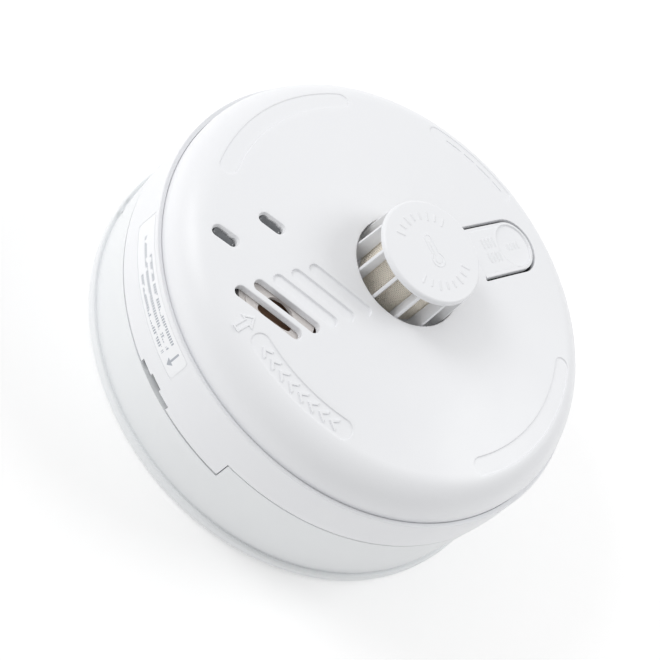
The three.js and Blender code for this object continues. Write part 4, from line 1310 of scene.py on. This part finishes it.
def rib_piece():
    """One rib on the +X side: a thin wall with a rounded outer edge."""
    section = [(12.4, -0.46), (12.44, -0.5), (None, -0.5, -0.28), (None, -0.44, -0.1), (None, -0.26, 0.0),
               (None, 0.26, 0.0), (None, 0.44, -0.1), (None, 0.5, -0.28), (12.44, 0.5), (12.4, 0.46)]
    rows = []
    for z, outer in [(RIB_FOOT_Z, RIB_R), (55.0, RIB_R), (CAP_Z + 0.15, CAP_R)]:
        rows.append([(s[0], s[1], z) if s[0] else (outer + s[2], s[1], z) for s in section])
    count = len(section)
    faces = ring_faces(len(rows), count)
    faces += [tuple(range(count - 1, -1, -1)), tuple(range(2 * count, 3 * count))]
    build = Solid()
    build.add(np.concatenate(rows), faces)
    return build.object("rib", white_abs)


def cap_normals(places, normals, facets):
    """Exact normals on the cap's top, and radial ones on its turned side."""
    p = places[:, :2]
    top = (normals[:, 2] > 0.3) & (np.linalg.norm(p, axis=1) < CAP_EDGE + 0.01)
    top &= np.abs(places[:, 2] - cap_surface(p)) < 0.01
    normals = radial_normals(places, normals, facets)
    normals[top] = slope_normals(p[top], cap_surface)
    return normals


settle(cap_piece(), ["sensor_cage"], "alarm_head", cap_normals)
rib_turns = [(0, 0, (i + 0.5) * 2 * math.pi / RIB_COUNT) for i in range(RIB_COUNT)]
ribs = copies("sensor_cage_ribs", rib_piece(), [(0, 0, 0)] * RIB_COUNT, rib_turns, white_abs)
settle(ribs, [], "alarm_head", None)
foot_profile = [(11.2, 47.5), (18.4, 47.5), (18.6, 47.7), (18.6, RIB_FOOT_Z), (18.4, 49), (11.2, 49),
                (11, RIB_FOOT_Z), (11, 47.7)]
foot = Solid().turned(foot_profile, 128, closed=True).object("sensor_cage_foot", white_abs)
settle(foot, [], "alarm_head")

# %% [markdown]
# ### The woven screen
# The screen keeps insects out: polyester yarn of 0.3 mm woven at about 0.4 mm. Upright yarns pass in turn
# outside and inside the rings. Two kinds of upright and two kinds of ring, each shifted by half a weave,
# are copied round and up by the same tree, and a rolled hem closes each end.

# %% Weave the screen
YARN_COUNT, RING_COUNT, YARN_R, WEAVE = 180, 36, 0.148, 0.08
SCREEN_R, SCREEN_Z = 11.85, (49.3, 64.9)
HEM = 0.35
ring_pitch = (SCREEN_Z[1] - SCREEN_Z[0] - 2 * HEM) / RING_COUNT
ring_heights = SCREEN_Z[0] + HEM + ring_pitch * (np.arange(RING_COUNT) + 0.5)


def upright(phase):
    """One yarn along the screen, on the +X side."""
    steps = np.arange(RING_COUNT * 2 + 1)
    heights = SCREEN_Z[0] + HEM + steps * ring_pitch / 2
    radii = SCREEN_R + WEAVE * np.sin(steps * math.pi / 2 + phase)
    path = np.column_stack([radii, np.zeros(len(steps)), heights])
    return Solid().tube(path, YARN_R, 4).object("upright", screen_yarn)


def hoop(phase):
    """One yarn round the screen, at height 0."""
    steps = np.arange(YARN_COUNT * 2)
    angles = steps * math.pi / YARN_COUNT
    radii = SCREEN_R - WEAVE * np.sin(steps * math.pi / 2 + phase)
    path = np.column_stack([radii * np.cos(angles), radii * np.sin(angles), np.zeros(len(steps))])
    return Solid().tube(path, YARN_R, 4, closed=True).object("hoop", screen_yarn)


for half, name in enumerate(("first", "second")):
    angles = (np.arange(YARN_COUNT // 2) * 2 + half) * 2 * math.pi / YARN_COUNT
    wires = copies("screen_uprights_" + name, upright(half * math.pi), [(0, 0, 0)] * len(angles),
                   [(0, 0, a) for a in angles], screen_yarn)
    settle(wires, ["insect_screen"] if half == 0 else [], "alarm_head", None, 100)
    heights = ring_heights[half::2]
    hoops = copies("screen_rings_" + name, hoop(half * math.pi), [(0, 0, z) for z in heights],
                   [(0, 0, 0)] * len(heights), screen_yarn)
    settle(hoops, [], "alarm_head", None, 100)

hems = Solid()
for z in (SCREEN_Z[0] + 0.25, SCREEN_Z[1] - 0.25):
    hems.turned([(SCREEN_R + 0.2 * math.cos(t), z + 0.24 * math.sin(t))
                 for t in np.arange(8) * math.pi / 4], 96, closed=True)
settle(hems.object("screen_hems", screen_yarn), [], "alarm_head", radial_normals, 60)

# %% [markdown]
# ## The sounder
# A horn ring stands under the slots and holds a thin lacquered brass disc at its foot. The horn's top follows
# the dome's underside. A shelf just under the slots has the horn's mouth through it, so a little of the disc
# shows where two slots go through. Two coil springs feed the disc from the board.

# %% The horn
HORN, BOARD_Z = (-36.9, 0.0), 35.5
HORN_FOOT_Z, LEG_RING_R = 40.0, 15.4


def horn():
    """A ring with a ledge for the disc, on three short legs."""
    profile = [(15.9, HORN_FOOT_Z), (16.2, HORN_FOOT_Z), (17.2, HORN_FOOT_Z), (17.5, 40.2), (17.5, None),
               (15.9, None), (15.9, 41.2), (12.7, 41.2), (12.5, 41.0), (12.5, 40.2), (12.7, HORN_FOOT_Z)]
    build = Solid().turned_to_dome(profile, 96, HORN, 2.55, closed=True)
    for a in np.radians([60, 180, 300]):
        build.turned([(0, BOARD_Z), (1.4, BOARD_Z), (1.6, BOARD_Z + 0.2), (1.6, 40.5), (0, 40.5)], 24,
                     centre=(HORN[0] + LEG_RING_R * math.cos(a), LEG_RING_R * math.sin(a)))
    return build.object("sounder_horn_ring", horn_abs)


def horn_normals(places, normals, facets):
    """Radial normals about the horn's own axis."""
    return radial_normals(places, normals, facets, HORN)


settle(horn(), ["sounder_horn"], "alarm_head", horn_normals)

# %% [markdown]
# The shelf is clipped to the horn's wall, and its mouth is a listed outline with softened corners. The
# disc is a thin plate with a raised middle.

# %% Horn shelf, disc and springs


def softened_loop(points, passes=3):
    """A closed outline with its corners cut back in passes."""
    points = np.array(points, float)
    for _ in range(passes):
        after = np.roll(points, -1, 0)
        points = np.stack([0.82 * points + 0.18 * after, 0.18 * points + 0.82 * after], 1).reshape(-1, 2)
    return points


def horn_shelf():
    """A shelf close under the slots, with the horn's mouth through it."""
    edge = circle_loop(10.9, 72, (-44.2, 0.5)) - HORN
    edge = HORN + edge * np.minimum(1, 15.8 / np.linalg.norm(edge, axis=1))[:, None]
    mouth = softened_loop([(-48.0, 4.1), (-50.2, 2.1), (-44.5, -6.3), (-41.9, -4.9), (-40.6, -1.4),
                           (-41.3, 1.8), (-43.9, 4.4)])
    flat, faces = fill_loops([edge, mouth])
    top = dome_height(np.linalg.norm(flat, axis=1), 2.4)
    build = Build()
    build.thick(flat, faces, np.column_stack([flat, top]), np.column_stack([flat, top - 1.1]))
    return build.object("sounder_horn_shelf", horn_abs)


settle(horn_shelf(), [], "alarm_head", None)
disc_profile = [(0, 41.5), (15.2, 41.5), (15.5, 41.65), (15.5, 41.85), (15.2, 42.0), (9.7, 42.0), (9.5, 42.1),
                (9.3, 42.25), (8.9, 42.3), (0, 42.3)]
disc = Solid().turned(disc_profile, 96, centre=HORN).object("sounder_disc_plate", disc_plate)
settle(disc, ["sounder_disc"], "alarm_head", horn_normals)


def coil(centre, z0, z1, r, wire, turns, steps=20):
    """A spring between two heights, with closed coils at its ends."""
    t = np.linspace(0, 1, int(turns * steps) + 1)
    ease = np.clip((t - 0.12) / 0.76, 0, 1)
    z = z0 + wire + (z1 - z0 - 2 * wire) * ease
    a = t * turns * 2 * math.pi
    return Solid().tube(np.column_stack([centre[0] + r * np.cos(a), centre[1] + r * np.sin(a), z]), wire, 6)


for number, y in ((1, -4.0), (2, 4.0)):
    spring = coil((HORN[0], y), BOARD_Z, 41.2, 0.75, 0.13, 9).object("sounder_coil_%d" % number, steel)
    settle(spring, ["sounder_spring_%d" % number], "alarm_head", None, 70)

# %% [markdown]
# ## The head's rear housing
# The housing is a shallow tray: a band that shows as the side wall, a ledge at its top where the cover
# drops in, and a floor with hooks that run in the plate's rails. On one side a skirt hangs down over the
# plate's wall. It has square ends and a notch for a screwdriver that pushes the catch.

# %% Build the rear housing
HEAD_Z, HEAD_FLOOR_Z, BAND_TOP_R = SPLIT_Z + 0.3, SPLIT_Z + 2.3, 68.8
SKIRT_Z, SKIRT_Y, NOTCH_Y, NOTCH_Z, BLADE_HALF = 21.2, (-29.3, 56.8), (-8.8, 5.7), 22.9, 2.4
LEDGE_Z = 33.3
BOARD_POSTS = [(-46, -12), (34, 36)]


def band_radius(z):
    """Outside radius of the head's band at a height."""
    return np.interp(z, [HEAD_Z, 31.6, 39.3], [BAND_R, BAND_R - 0.1, BAND_TOP_R])


def skirt():
    """The part of the band that hangs over the plate's wall, on the catch side only."""
    profile = [(67.5, SKIRT_Z), (69.35, SKIRT_Z)] + arc_profile((69.3, SKIRT_Z + 0.25), 0.25, -80, 0, 4)
    profile += [(69.55, 27.7), (69.3, 28.6), (67.3, 28.6), (67.3, SKIRT_Z + 0.2)]
    ring = Solid().turned(profile, 256, closed=True).object("skirt", white_abs)
    return meet(ring, Solid().box((-80, -30), SKIRT_Y, (SKIRT_Z - 1, 30)))


def rear_housing():
    profile = [(0, HEAD_Z), (BAND_R - 0.2, HEAD_Z), (BAND_R - 0.06, HEAD_Z + 0.06), (BAND_R, HEAD_Z + 0.2),
               (BAND_R - 0.1, 31.6), (BAND_TOP_R, 39.3)]
    profile += arc_profile((BAND_TOP_R - 0.3, 39.65), 0.3, 8, 105, 6)
    profile += [(67.46, 39.66), (67.38, 39.5), (67.38, LEDGE_Z), (64.9, LEDGE_Z)]
    profile += [(64.9, HEAD_FLOOR_Z), (0, HEAD_FLOOR_Z)]
    body = Solid().turned(profile, 256).object("rear_housing_moulding", white_abs)
    body = boolean(body, skirt(), "UNION")
    added, holes = Solid(), Solid()
    for side in (-1, 1):
        hook = [(47.5, 14.7), (52.4, 14.7), (52.4, 17), (49.5, 17), (49.5, HEAD_Z + 1), (47.5, HEAD_Z + 1)]
        along_x(added, [(side * y, z) for y, z in hook][::side], -20, 15)
    for place in BOSS_PLACES:
        added.post(place, (HEAD_Z + 0.2, 33.0), 4.6, 40)
        holes.turned([(0, HEAD_Z - 1), (3.2, HEAD_Z - 1), (3.2, HEAD_Z + 3), (1.7, HEAD_Z + 3), (1.7, 34),
                      (0, 34)], 40, centre=place)
    for place in BOARD_POSTS:
        added.post(place, (HEAD_Z + 1, LEDGE_Z), 2.4)
        holes.post(place, (29.3, 34.3), 1.2)
    middle = (NOTCH_Y[0] + NOTCH_Y[1]) / 2
    left, right = middle - BLADE_HALF, middle + BLADE_HALF
    notch = [(NOTCH_Y[0], SKIRT_Z - 1), (NOTCH_Y[1], SKIRT_Z - 1), (NOTCH_Y[1], NOTCH_Z), (right, NOTCH_Z),
             (right, NOTCH_Z + 1), (left, NOTCH_Z + 1), (left, NOTCH_Z), (NOTCH_Y[0], NOTCH_Z)]
    along_x(holes, notch, -80, -60)
    holes.box((-20.5, 30), (-47, -19), (HEAD_Z - 1, HEAD_FLOOR_Z + 0.1))
    holes.box((-8.3, 10.3), (-15.8, 15.8), (HEAD_Z - 1, HEAD_FLOOR_Z + 1))
    body = cut(join(body, added), holes)
    bed_z = (label_low[2] - 0.25, 31.6, label_high[2] + 0.25)
    bed = Solid().turned([(75, bed_z[0]), (75, bed_z[2])] + [(band_radius(z) - 0.12, z) for z in bed_z[::-1]],
                         256, closed=True).object("bed", white_abs)
    span = np.radians(np.linspace(145.45, 183.25, 40))
    wedge = np.concatenate([np.column_stack([90 * np.cos(span), 90 * np.sin(span)]),
                            np.column_stack([60 * np.cos(span[::-1]), 60 * np.sin(span[::-1])])])
    return painted(boolean(body, meet(bed, Solid().prism(wedge, 28, 40)), "DIFFERENCE"), white_abs)


settle(rear_housing(), ["rear_housing"], "alarm_head")

# %% [markdown]
# ## The printed label
# A matt polyester label lies flush in a shallow bed on the side of the band, over the catch. It follows the
# band's slight taper. Its print is grey: three rows of short blocks and an arrow that points at the notch.

# %% Label print
LABEL_R = 69.5


def math_node(tree, operation, *values):
    """One step of arithmetic on links and numbers."""
    node = add_node(tree, "ShaderNodeMath", operation=operation)
    for i, value in enumerate(values):
        if isinstance(value, bpy.types.NodeSocket):
            tree.links.new(value, node.inputs[i])
        else:
            node.inputs[i].default_value = value
    return node.outputs[0]


def printed_label():
    """White polyester with grey print, placed by angle round the axis and by height."""
    material, tree, shader = new_material("printed polyester label")
    place = add_node(tree, "ShaderNodeTexCoord").outputs["Object"]
    axes = add_node(tree, "ShaderNodeSeparateXYZ", {"Vector": place}).outputs
    back_x, back_y = math_node(tree, "MULTIPLY", axes[0], -1.0), math_node(tree, "MULTIPLY", axes[1], -1.0)
    along = math_node(tree, "MULTIPLY", math_node(tree, "ARCTAN2", back_y, back_x), LABEL_R)
    height = math_node(tree, "MULTIPLY", axes[2], 1000.0)

    def within(value, middle, half, soft=0.05):
        away = math_node(tree, "ABSOLUTE", math_node(tree, "SUBTRACT", value, middle))
        edge = add_node(tree, "ShaderNodeMapRange", {
            "Value": away, "From Min": half - soft, "From Max": half + soft, "To Min": 1.0, "To Max": 0.0})
        return edge.outputs["Result"]

    ink = 0.0
    for z, start, end in ((36.4, 155.5, 177.5), (34.0, 150.0, 177.5), (31.6, 158.5, 177.3)):
        middle = math.radians((start + end) / 2 - 180) * LABEL_R
        half = math.radians(end - start) / 2 * LABEL_R
        row = math_node(tree, "MULTIPLY", within(height, z, 0.62), within(along, middle, half))
        ink = math_node(tree, "MAXIMUM", row, ink)
    spread = add_node(tree, "ShaderNodeCombineXYZ", {
        "X": math_node(tree, "MULTIPLY", along, 0.55), "Y": math_node(tree, "MULTIPLY", height, 0.42)})
    blocks = add_node(tree, "ShaderNodeTexNoise", {
        "Vector": spread.outputs["Vector"], "Scale": 1.0, "Detail": 0.0})
    gaps = add_node(tree, "ShaderNodeMapRange", {
        "Value": blocks.outputs["Fac"], "From Min": 0.40, "From Max": 0.43})
    strokes = math_node(tree, "PINGPONG", along, 0.36)
    bars = add_node(tree, "ShaderNodeMapRange", {"Value": strokes, "From Min": 0.10, "From Max": 0.16})
    broken = math_node(tree, "MULTIPLY", gaps.outputs["Result"], bars.outputs["Result"])
    ink = math_node(tree, "MULTIPLY", ink, broken)
    shaft = math_node(tree, "MULTIPLY", within(along, 0.0, 0.3), within(height, 34.9, 2.1))
    slope = math_node(tree, "ABSOLUTE", along)
    widening = math_node(tree, "MULTIPLY", math_node(tree, "SUBTRACT", height, 31.0), 0.6)
    head = math_node(tree, "LESS_THAN", slope, widening)
    head = math_node(tree, "MULTIPLY", head, within(height, 32.0, 1.0))
    ink = math_node(tree, "MAXIMUM", ink, math_node(tree, "MAXIMUM", shaft, head))
    shade = add_node(tree, "ShaderNodeMix", {"Factor": ink}, data_type="RGBA")
    shade.inputs[6].default_value = linear("#f5f6f8")
    shade.inputs[7].default_value = linear("#b0b4bc")
    grain = add_node(tree, "ShaderNodeTexNoise", {"Vector": place, "Scale": 1 / (0.2 * MM), "Detail": 1.0})
    bump = add_node(tree, "ShaderNodeBump", {
        "Height": grain.outputs["Fac"], "Strength": 0.3, "Distance": 0.01 * MM})
    tree.links.new(shade.outputs[2], shader.inputs["Base Color"])
    tree.links.new(bump.outputs["Normal"], shader.inputs["Normal"])
    set_shader(shader, Roughness=0.55, IOR=1.5)
    return material


label_finish = printed_label()
print("nodes of the label's print", len(label_finish.node_tree.nodes))

# %% [markdown]
# The film is triangulated flat, with its length along the band, and then wrapped round the band.

# %% Build the label


def rounded_rectangle(low, high, r, step=0.4, long_step=1.2):
    """The loop of a rectangle with round corners."""
    corners_at = [(high[0] - r, low[1] + r, -90), (high[0] - r, high[1] - r, 0),
                  (low[0] + r, high[1] - r, 90), (low[0] + r, low[1] + r, 180)]
    arcs = [arc_points((x, y), r, math.radians(a), math.radians(a + 90), step) for x, y, a in corners_at]
    parts = []
    for arc, following in zip(arcs, arcs[1:] + arcs[:1]):
        parts += [arc, line_points(arc[-1], following[0], long_step)[1:]]
    return np.concatenate(parts)


def side_label():
    low = (math.radians(145.7) * BAND_R, label_low[2])
    high = (math.radians(183.0) * BAND_R, label_high[2])
    outline = rounded_rectangle(low, high, 1.5)
    xs, zs = np.meshgrid(np.arange(low[0] + 0.8, high[0] - 0.6, 1.2),
                         np.arange(low[1] + 0.7, high[1] - 0.5, 1.1))
    grid = np.column_stack([xs.ravel(), zs.ravel()])
    inner_loop = rounded_rectangle((low[0] + 0.4, low[1] + 0.4), (high[0] - 0.4, high[1] - 0.4), 1.3)
    grid = grid[inside_loops(grid, [inner_loop])]
    flat, faces = triangulate([outline], grid, lambda p: inside_loops(p, [outline]))
    angle, z = flat[:, 0] / BAND_R, flat[:, 1]
    build = Build()
    outer, inner = band_radius(z) - 0.02, band_radius(z) - 0.1
    build.thick(flat, faces, np.column_stack([outer * np.cos(angle), outer * np.sin(angle), z]),
                np.column_stack([inner * np.cos(angle), inner * np.sin(angle), z]))
    return build.object("side_label_film", label_finish)


settle(side_label(), ["side_label"], "alarm_head")

# %% [markdown]
# ## The mounting plate
# The plate is a dish with a rounded flange that lies on the ceiling. Its wall carries the head's band, and
# steps down behind the skirt. Rails inside take the head's hooks, and the floor has two fixing slots and a
# window for the cable. The real plate hangs on two screws in those slots.

# %% Build the mounting plate
RAIL_X, FIXING_Y, EAR_X, EAR_Y = 30, 30, -22, 21.8


def mounting_plate():
    profile = [(0, 0)] + arc_profile((69.3, 1.2), 1.2, -90, 0, 6) + arc_profile((69.9, 2.7), 0.6, 0, 105, 6)
    profile += [(69.2, 3.05), (69.09, 3.05), (69.06, 3.15), (69.55, 27.08)]
    profile += arc_profile((69.33, 27.08), 0.22, 20, 90, 4)
    profile += [(67.1, SPLIT_Z), (66.9, 27.1), (66.9, 2.7), (66.4, 2.2), (0, 2.2)]
    body = Solid().turned(profile, 256).object("mounting_plate_moulding", plate_abs)
    added, holes = Solid(), Solid()
    for side in (-1, 1):
        rail = [(53, 1), (55, 1), (55, 20.8), (53, 20.8), (53, 19.7), (50, 19.7), (50, 17.5), (53, 17.5)]
        along_x(added, [(side * y, z) for y, z in rail][::side], -RAIL_X, RAIL_X)
        added.post((EAR_X, side * EAR_Y), (1, 7.7), 2.8, 40)
        fixing = (4, side * FIXING_Y)
        added.prism(Slot(fixing, 8, 4.4, 0).loop(0, 0.4), 2.0, 2.9)
        holes.post((EAR_X, side * EAR_Y), (3, 9), 1.5, 24)
        holes.prism(Slot(fixing, 8, 2.25, 0).loop(0, 0.3), -1, 4)
    holes.box((-80, -30), (SKIRT_Y[0] - 0.3, SKIRT_Y[1] + 0.3), (SKIRT_Z - 0.7, 30))
    for a in np.radians([122.5, 127.5]):
        holes.post((68.6 * math.cos(a), 68.6 * math.sin(a)), (3.2, 6.3), 1.3, 24)
    holes.prism(rounded_rectangle((-54, -16), (-38, 14), 1.2), -1, 3.2)
    return painted(cut(join(body, added), holes), plate_abs)


settle(mounting_plate(), ["mounting_plate"], "mounting_plate")

# %% [markdown]
# ### The release catch
# The catch is a sprung tongue of grey nylon. Its tip shows in the notch, where three ridges stop the
# screwdriver from slipping. A brace behind keeps it straight, so that it flexes at its foot.

# %% Build the catch


def across_y(build, outline, y0, y1):
    """A prism drawn in X and Z. Swapping two axes turns its faces in, so they are turned out again."""
    first = len(build.verts)
    build.prism(outline, y0, y1)
    build.verts[first] = build.verts[first][:, [0, 2, 1]]
    build.faces[-len(outline) - 2:] = [f[::-1] for f in build.faces[-len(outline) - 2:]]
    return build


def release_catch():
    low, high = corners("release_catch")
    front, back, top = -65.9, -64.4, high[2]
    outline = [(front, low[2]), (back, low[2]), (back, top - 0.3), (back - 0.3, top), (front + 0.35, top),
               (front, top - 0.35)]
    for z in (top - 0.65, top - 1.75, top - 2.85):
        outline += [(front, z), (front + 0.4, z - 0.12), (front + 0.4, z - 0.38), (front, z - 0.5)]
    body = across_y(Solid(), outline, -7.2, 4.2).object("release_catch_tongue", grey_nylon)
    brace = [(-64.5, 5.0), (-63.4, 6.2), (-63.0, 7.0), (-63.0, 16.5), (-64.5, 18.0)]
    body = join(body, across_y(Solid(), brace, -4.2, 1.2))
    return soften(painted(body, grey_nylon), 0.1)


settle(release_catch(), ["release_catch"], "release_catch", None, 40)

# %% [markdown]
# ## Screws
# All screws are zinc-plated steel. The housing, board and block screws are pan heads with a cross recess
# and a coarse thread for plastic. The terminal screws have a slot. One of each kind is built and copied.

# %% Build and copy the screws


def screw(name, head_r, head_height, shank_r, length, cross=True):
    """A screw with its seat on z = 0, head up, with thread rings that end in a point."""
    profile = [(0, -length), (shank_r * 0.35, -length)]
    z = -length + 0.5
    while z < -0.9:
        profile += [(shank_r * 0.74, z), (shank_r, z + 0.3), (shank_r * 0.74, z + 0.6)]
        z += 0.75
    profile += [(shank_r * 0.8, -0.2), (head_r * 0.96, 0.0), (head_r, 0.12), (head_r, head_height * 0.45)]
    dome = [(head_r * math.cos(t), head_height * (0.45 + 0.55 * math.sin(t)))
            for t in np.linspace(0.15, math.pi / 2, 6)]
    body = Solid().turned(profile + dome[:-1] + [(0, head_height)], 40).object(name, steel)
    wide, narrow = head_r * (0.62 if cross else 1.3), head_r * 0.13
    depth = (head_height * 0.5, head_height + 1)
    body = cut(body, Solid().box((-wide, wide), (-narrow, narrow), depth))
    if cross:
        body = cut(body, Solid().box((-narrow, narrow), (-wide, wide), depth))
    return painted(body, steel)


def screws(kind, count, places, turn_x, body, **size):
    """One piece with a screw at each place, each turned a little differently in its hole."""
    nodes = ["%s_%d" % (kind, i + 1) for i in range(count)]
    turns = [(turn_x, 0, 0.4 + 0.9 * i) for i in range(count)]
    obj = copies(kind + "s", screw(kind, **size), places, turns, steel)
    settle(obj, nodes, body, None, 35)


POLES = (-9.0, 0.0, 9.0)
screws("housing_screw", 4, [(x, y, HEAD_Z + 2.7) for x, y in BOSS_PLACES], math.pi, "alarm_head",
       head_r=2.8, head_height=1.8, shank_r=1.3, length=11)
screws("board_screw", 2, [(x, y, BOARD_Z) for x, y in BOARD_POSTS], 0, "alarm_head",
       head_r=2.2, head_height=1.6, shank_r=0.9, length=5)
screws("terminal_block_screw", 2, [(EAR_X, -EAR_Y, 10.8), (EAR_X, EAR_Y, 10.8)], 0, "mounting_plate",
       head_r=2.4, head_height=1.8, shank_r=1.2, length=7)
screws("terminal_screw", 3, [(-28.8, y, 14.4) for y in POLES], 0, "mounting_plate",
       head_r=2.2, head_height=2.2, shank_r=1.3, length=4, cross=False)

# %% [markdown]
# ## Parts behind the cover
# The parts inside keep the CAD's shapes with their edges eased: a moulding or a stamping never has a sharp
# edge. The easing is small on stampings and larger on the battery's folded steel can.

# %% Ease the inner parts
FINISHES = {
    "white_abs": white_abs, "white_plate": plate_abs, "grey_plastic": grey_nylon,
    "terminal_plastic": terminal_nylon, "black_plastic": black_nylon, "brass": brass, "steel": steel,
    "board": resist, "sounder_ceramic": disc_plate, "green_lamp": green_lens, "red_lamp": red_lens,
    "battery_skin": battery_skin, "capacitor_yellow": yellow_resin, "varistor_blue": blue_epoxy,
    "resistor_tan": tan_lacquer, "red_wire": red_pvc, "black_wire": black_pvc}
SLOT_OF = {part["node"]: part["material_slot"] for part in frame["record"]["subparts"]}
EASING = {"backup_battery": 0.9, "mains_capacitor": 0.5, "battery_door": 0.25, "terminal_block": 0.25,
          "terminal_cover": 0.2, "head_connector": 0.3, "battery_snap": 0.4, "surge_varistor": 0.9,
          "smoothing_capacitor_1": 0.35, "smoothing_capacitor_2": 0.35, "resistor_1": 0.3, "resistor_2": 0.3,
          "green_led": 0.2, "red_led": 0.2, "thermistor": 0.25, "fuse": 0.2, "circuit_board": 0.12}
BODY_OF = {node: body for body, nodes in frame["record"]["behaviour"]["bodies"].items() for node in nodes}
for node in sorted(NODES):
    already_replaced = NODES[node].hide_render
    if already_replaced or node.startswith("battery_lead"):
        continue
    eased = soften(copy_node(node, node + "_eased", FINISHES[SLOT_OF[node]]), EASING.get(node, 0.12))
    settle(eased, [node], BODY_OF[node], None, 38)

# %% [markdown]
# The battery's two leads are soft PVC wire. They run from the snap to the board in smooth curves.

# %% Battery leads


def smooth_path(points, steps=10):
    """A smooth curve through points."""
    points = np.array([points[0], *points, points[-1]], float)
    path = []
    for a, b, c, d in zip(points, points[1:], points[2:], points[3:]):
        for t in np.arange(steps) / steps:
            path.append(0.5 * (2 * b + (c - a) * t + (2 * a - 5 * b + 4 * c - d) * t ** 2
                               + (3 * b - a - 3 * c + d) * t ** 3))
    return np.array(path + [points[-1]])


for node, shift in (("battery_lead_red", 0.0), ("battery_lead_black", 4.0)):
    route = [(26.8, -28 - shift, 38.75), (28.8, -28 - shift, 38.75), (31.8 + shift, -25, 37.75),
             (31.8 + shift, -18, 39), (30.8 + shift, -12, 37), (29.8 + shift, -7, 36.3)]
    lead = Solid().tube(smooth_path(route), 0.7, 14).object(node + "_wire", FINISHES[SLOT_OF[node]])
    settle(lead, [node], "alarm_head", None, 60)

# %% [markdown]
# ## Floor and light
# The alarm lies on a pale floor that glows a little, under two round area lights. The world is brighter on
# one side, like a soft box, so the face is even and its edges shade gently.

# %% Floor and light
floor_mesh = bpy.data.meshes.new("floor")
reach, floor_z = 4.0, -0.0002
floor_mesh.from_pydata([(-reach, -reach, floor_z), (reach, -reach, floor_z), (reach, reach, floor_z),
                        (-reach, reach, floor_z)], [], [(0, 1, 2, 3)])
floor = bpy.data.objects.new("floor", floor_mesh)
bpy.context.scene.collection.objects.link(floor)
floor_paint, _, floor_shader = new_material("pale floor")
set_shader(floor_shader, Base_Color=(0.93, 0.93, 0.93, 1), Roughness=0.9,
           Emission_Color=(1, 1, 1, 1), Emission_Strength=0.17)
floor_mesh.materials.append(floor_paint)

world = bpy.data.worlds.new("studio")
world.use_nodes = True
sky = world.node_tree
toward = add_node(sky, "ShaderNodeVectorMath", {0: (-0.3, 0.8, 0.5)}, operation="DOT_PRODUCT")
sky.links.new(add_node(sky, "ShaderNodeTexCoord").outputs["Generated"], toward.inputs[1])
soft_box = add_node(sky, "ShaderNodeMapRange", {
    "Value": toward.outputs["Value"], "From Min": -1.0, "From Max": 1.0, "To Min": 0.31, "To Max": 0.83})
sky.nodes["Background"].inputs["Color"].default_value = (1, 1, 1, 1)
sky.links.new(soft_box.outputs["Result"], sky.nodes["Background"].inputs["Strength"])
bpy.context.scene.world = world


def area_light(name, place, size, power, target=(0, 0, 0.03)):
    """A round light that faces the object."""
    light = bpy.data.lights.new(name, "AREA")
    light.shape, light.size, light.energy = "DISK", size, power
    lamp = bpy.data.objects.new(name, light)
    bpy.context.scene.collection.objects.link(lamp)
    lamp.location = place
    lamp.rotation_mode = "QUATERNION"
    lamp.rotation_quaternion = (Vector(target) - Vector(place)).to_track_quat("-Z", "Y")
    return lamp


area_light("key_light", (-0.52, 0.85, 0.68), 0.5, 3.65)
area_light("top_light", (0.85, -0.3, 0.85), 0.7, 4.3)
bpy.context.scene.view_settings.view_transform = "Standard"
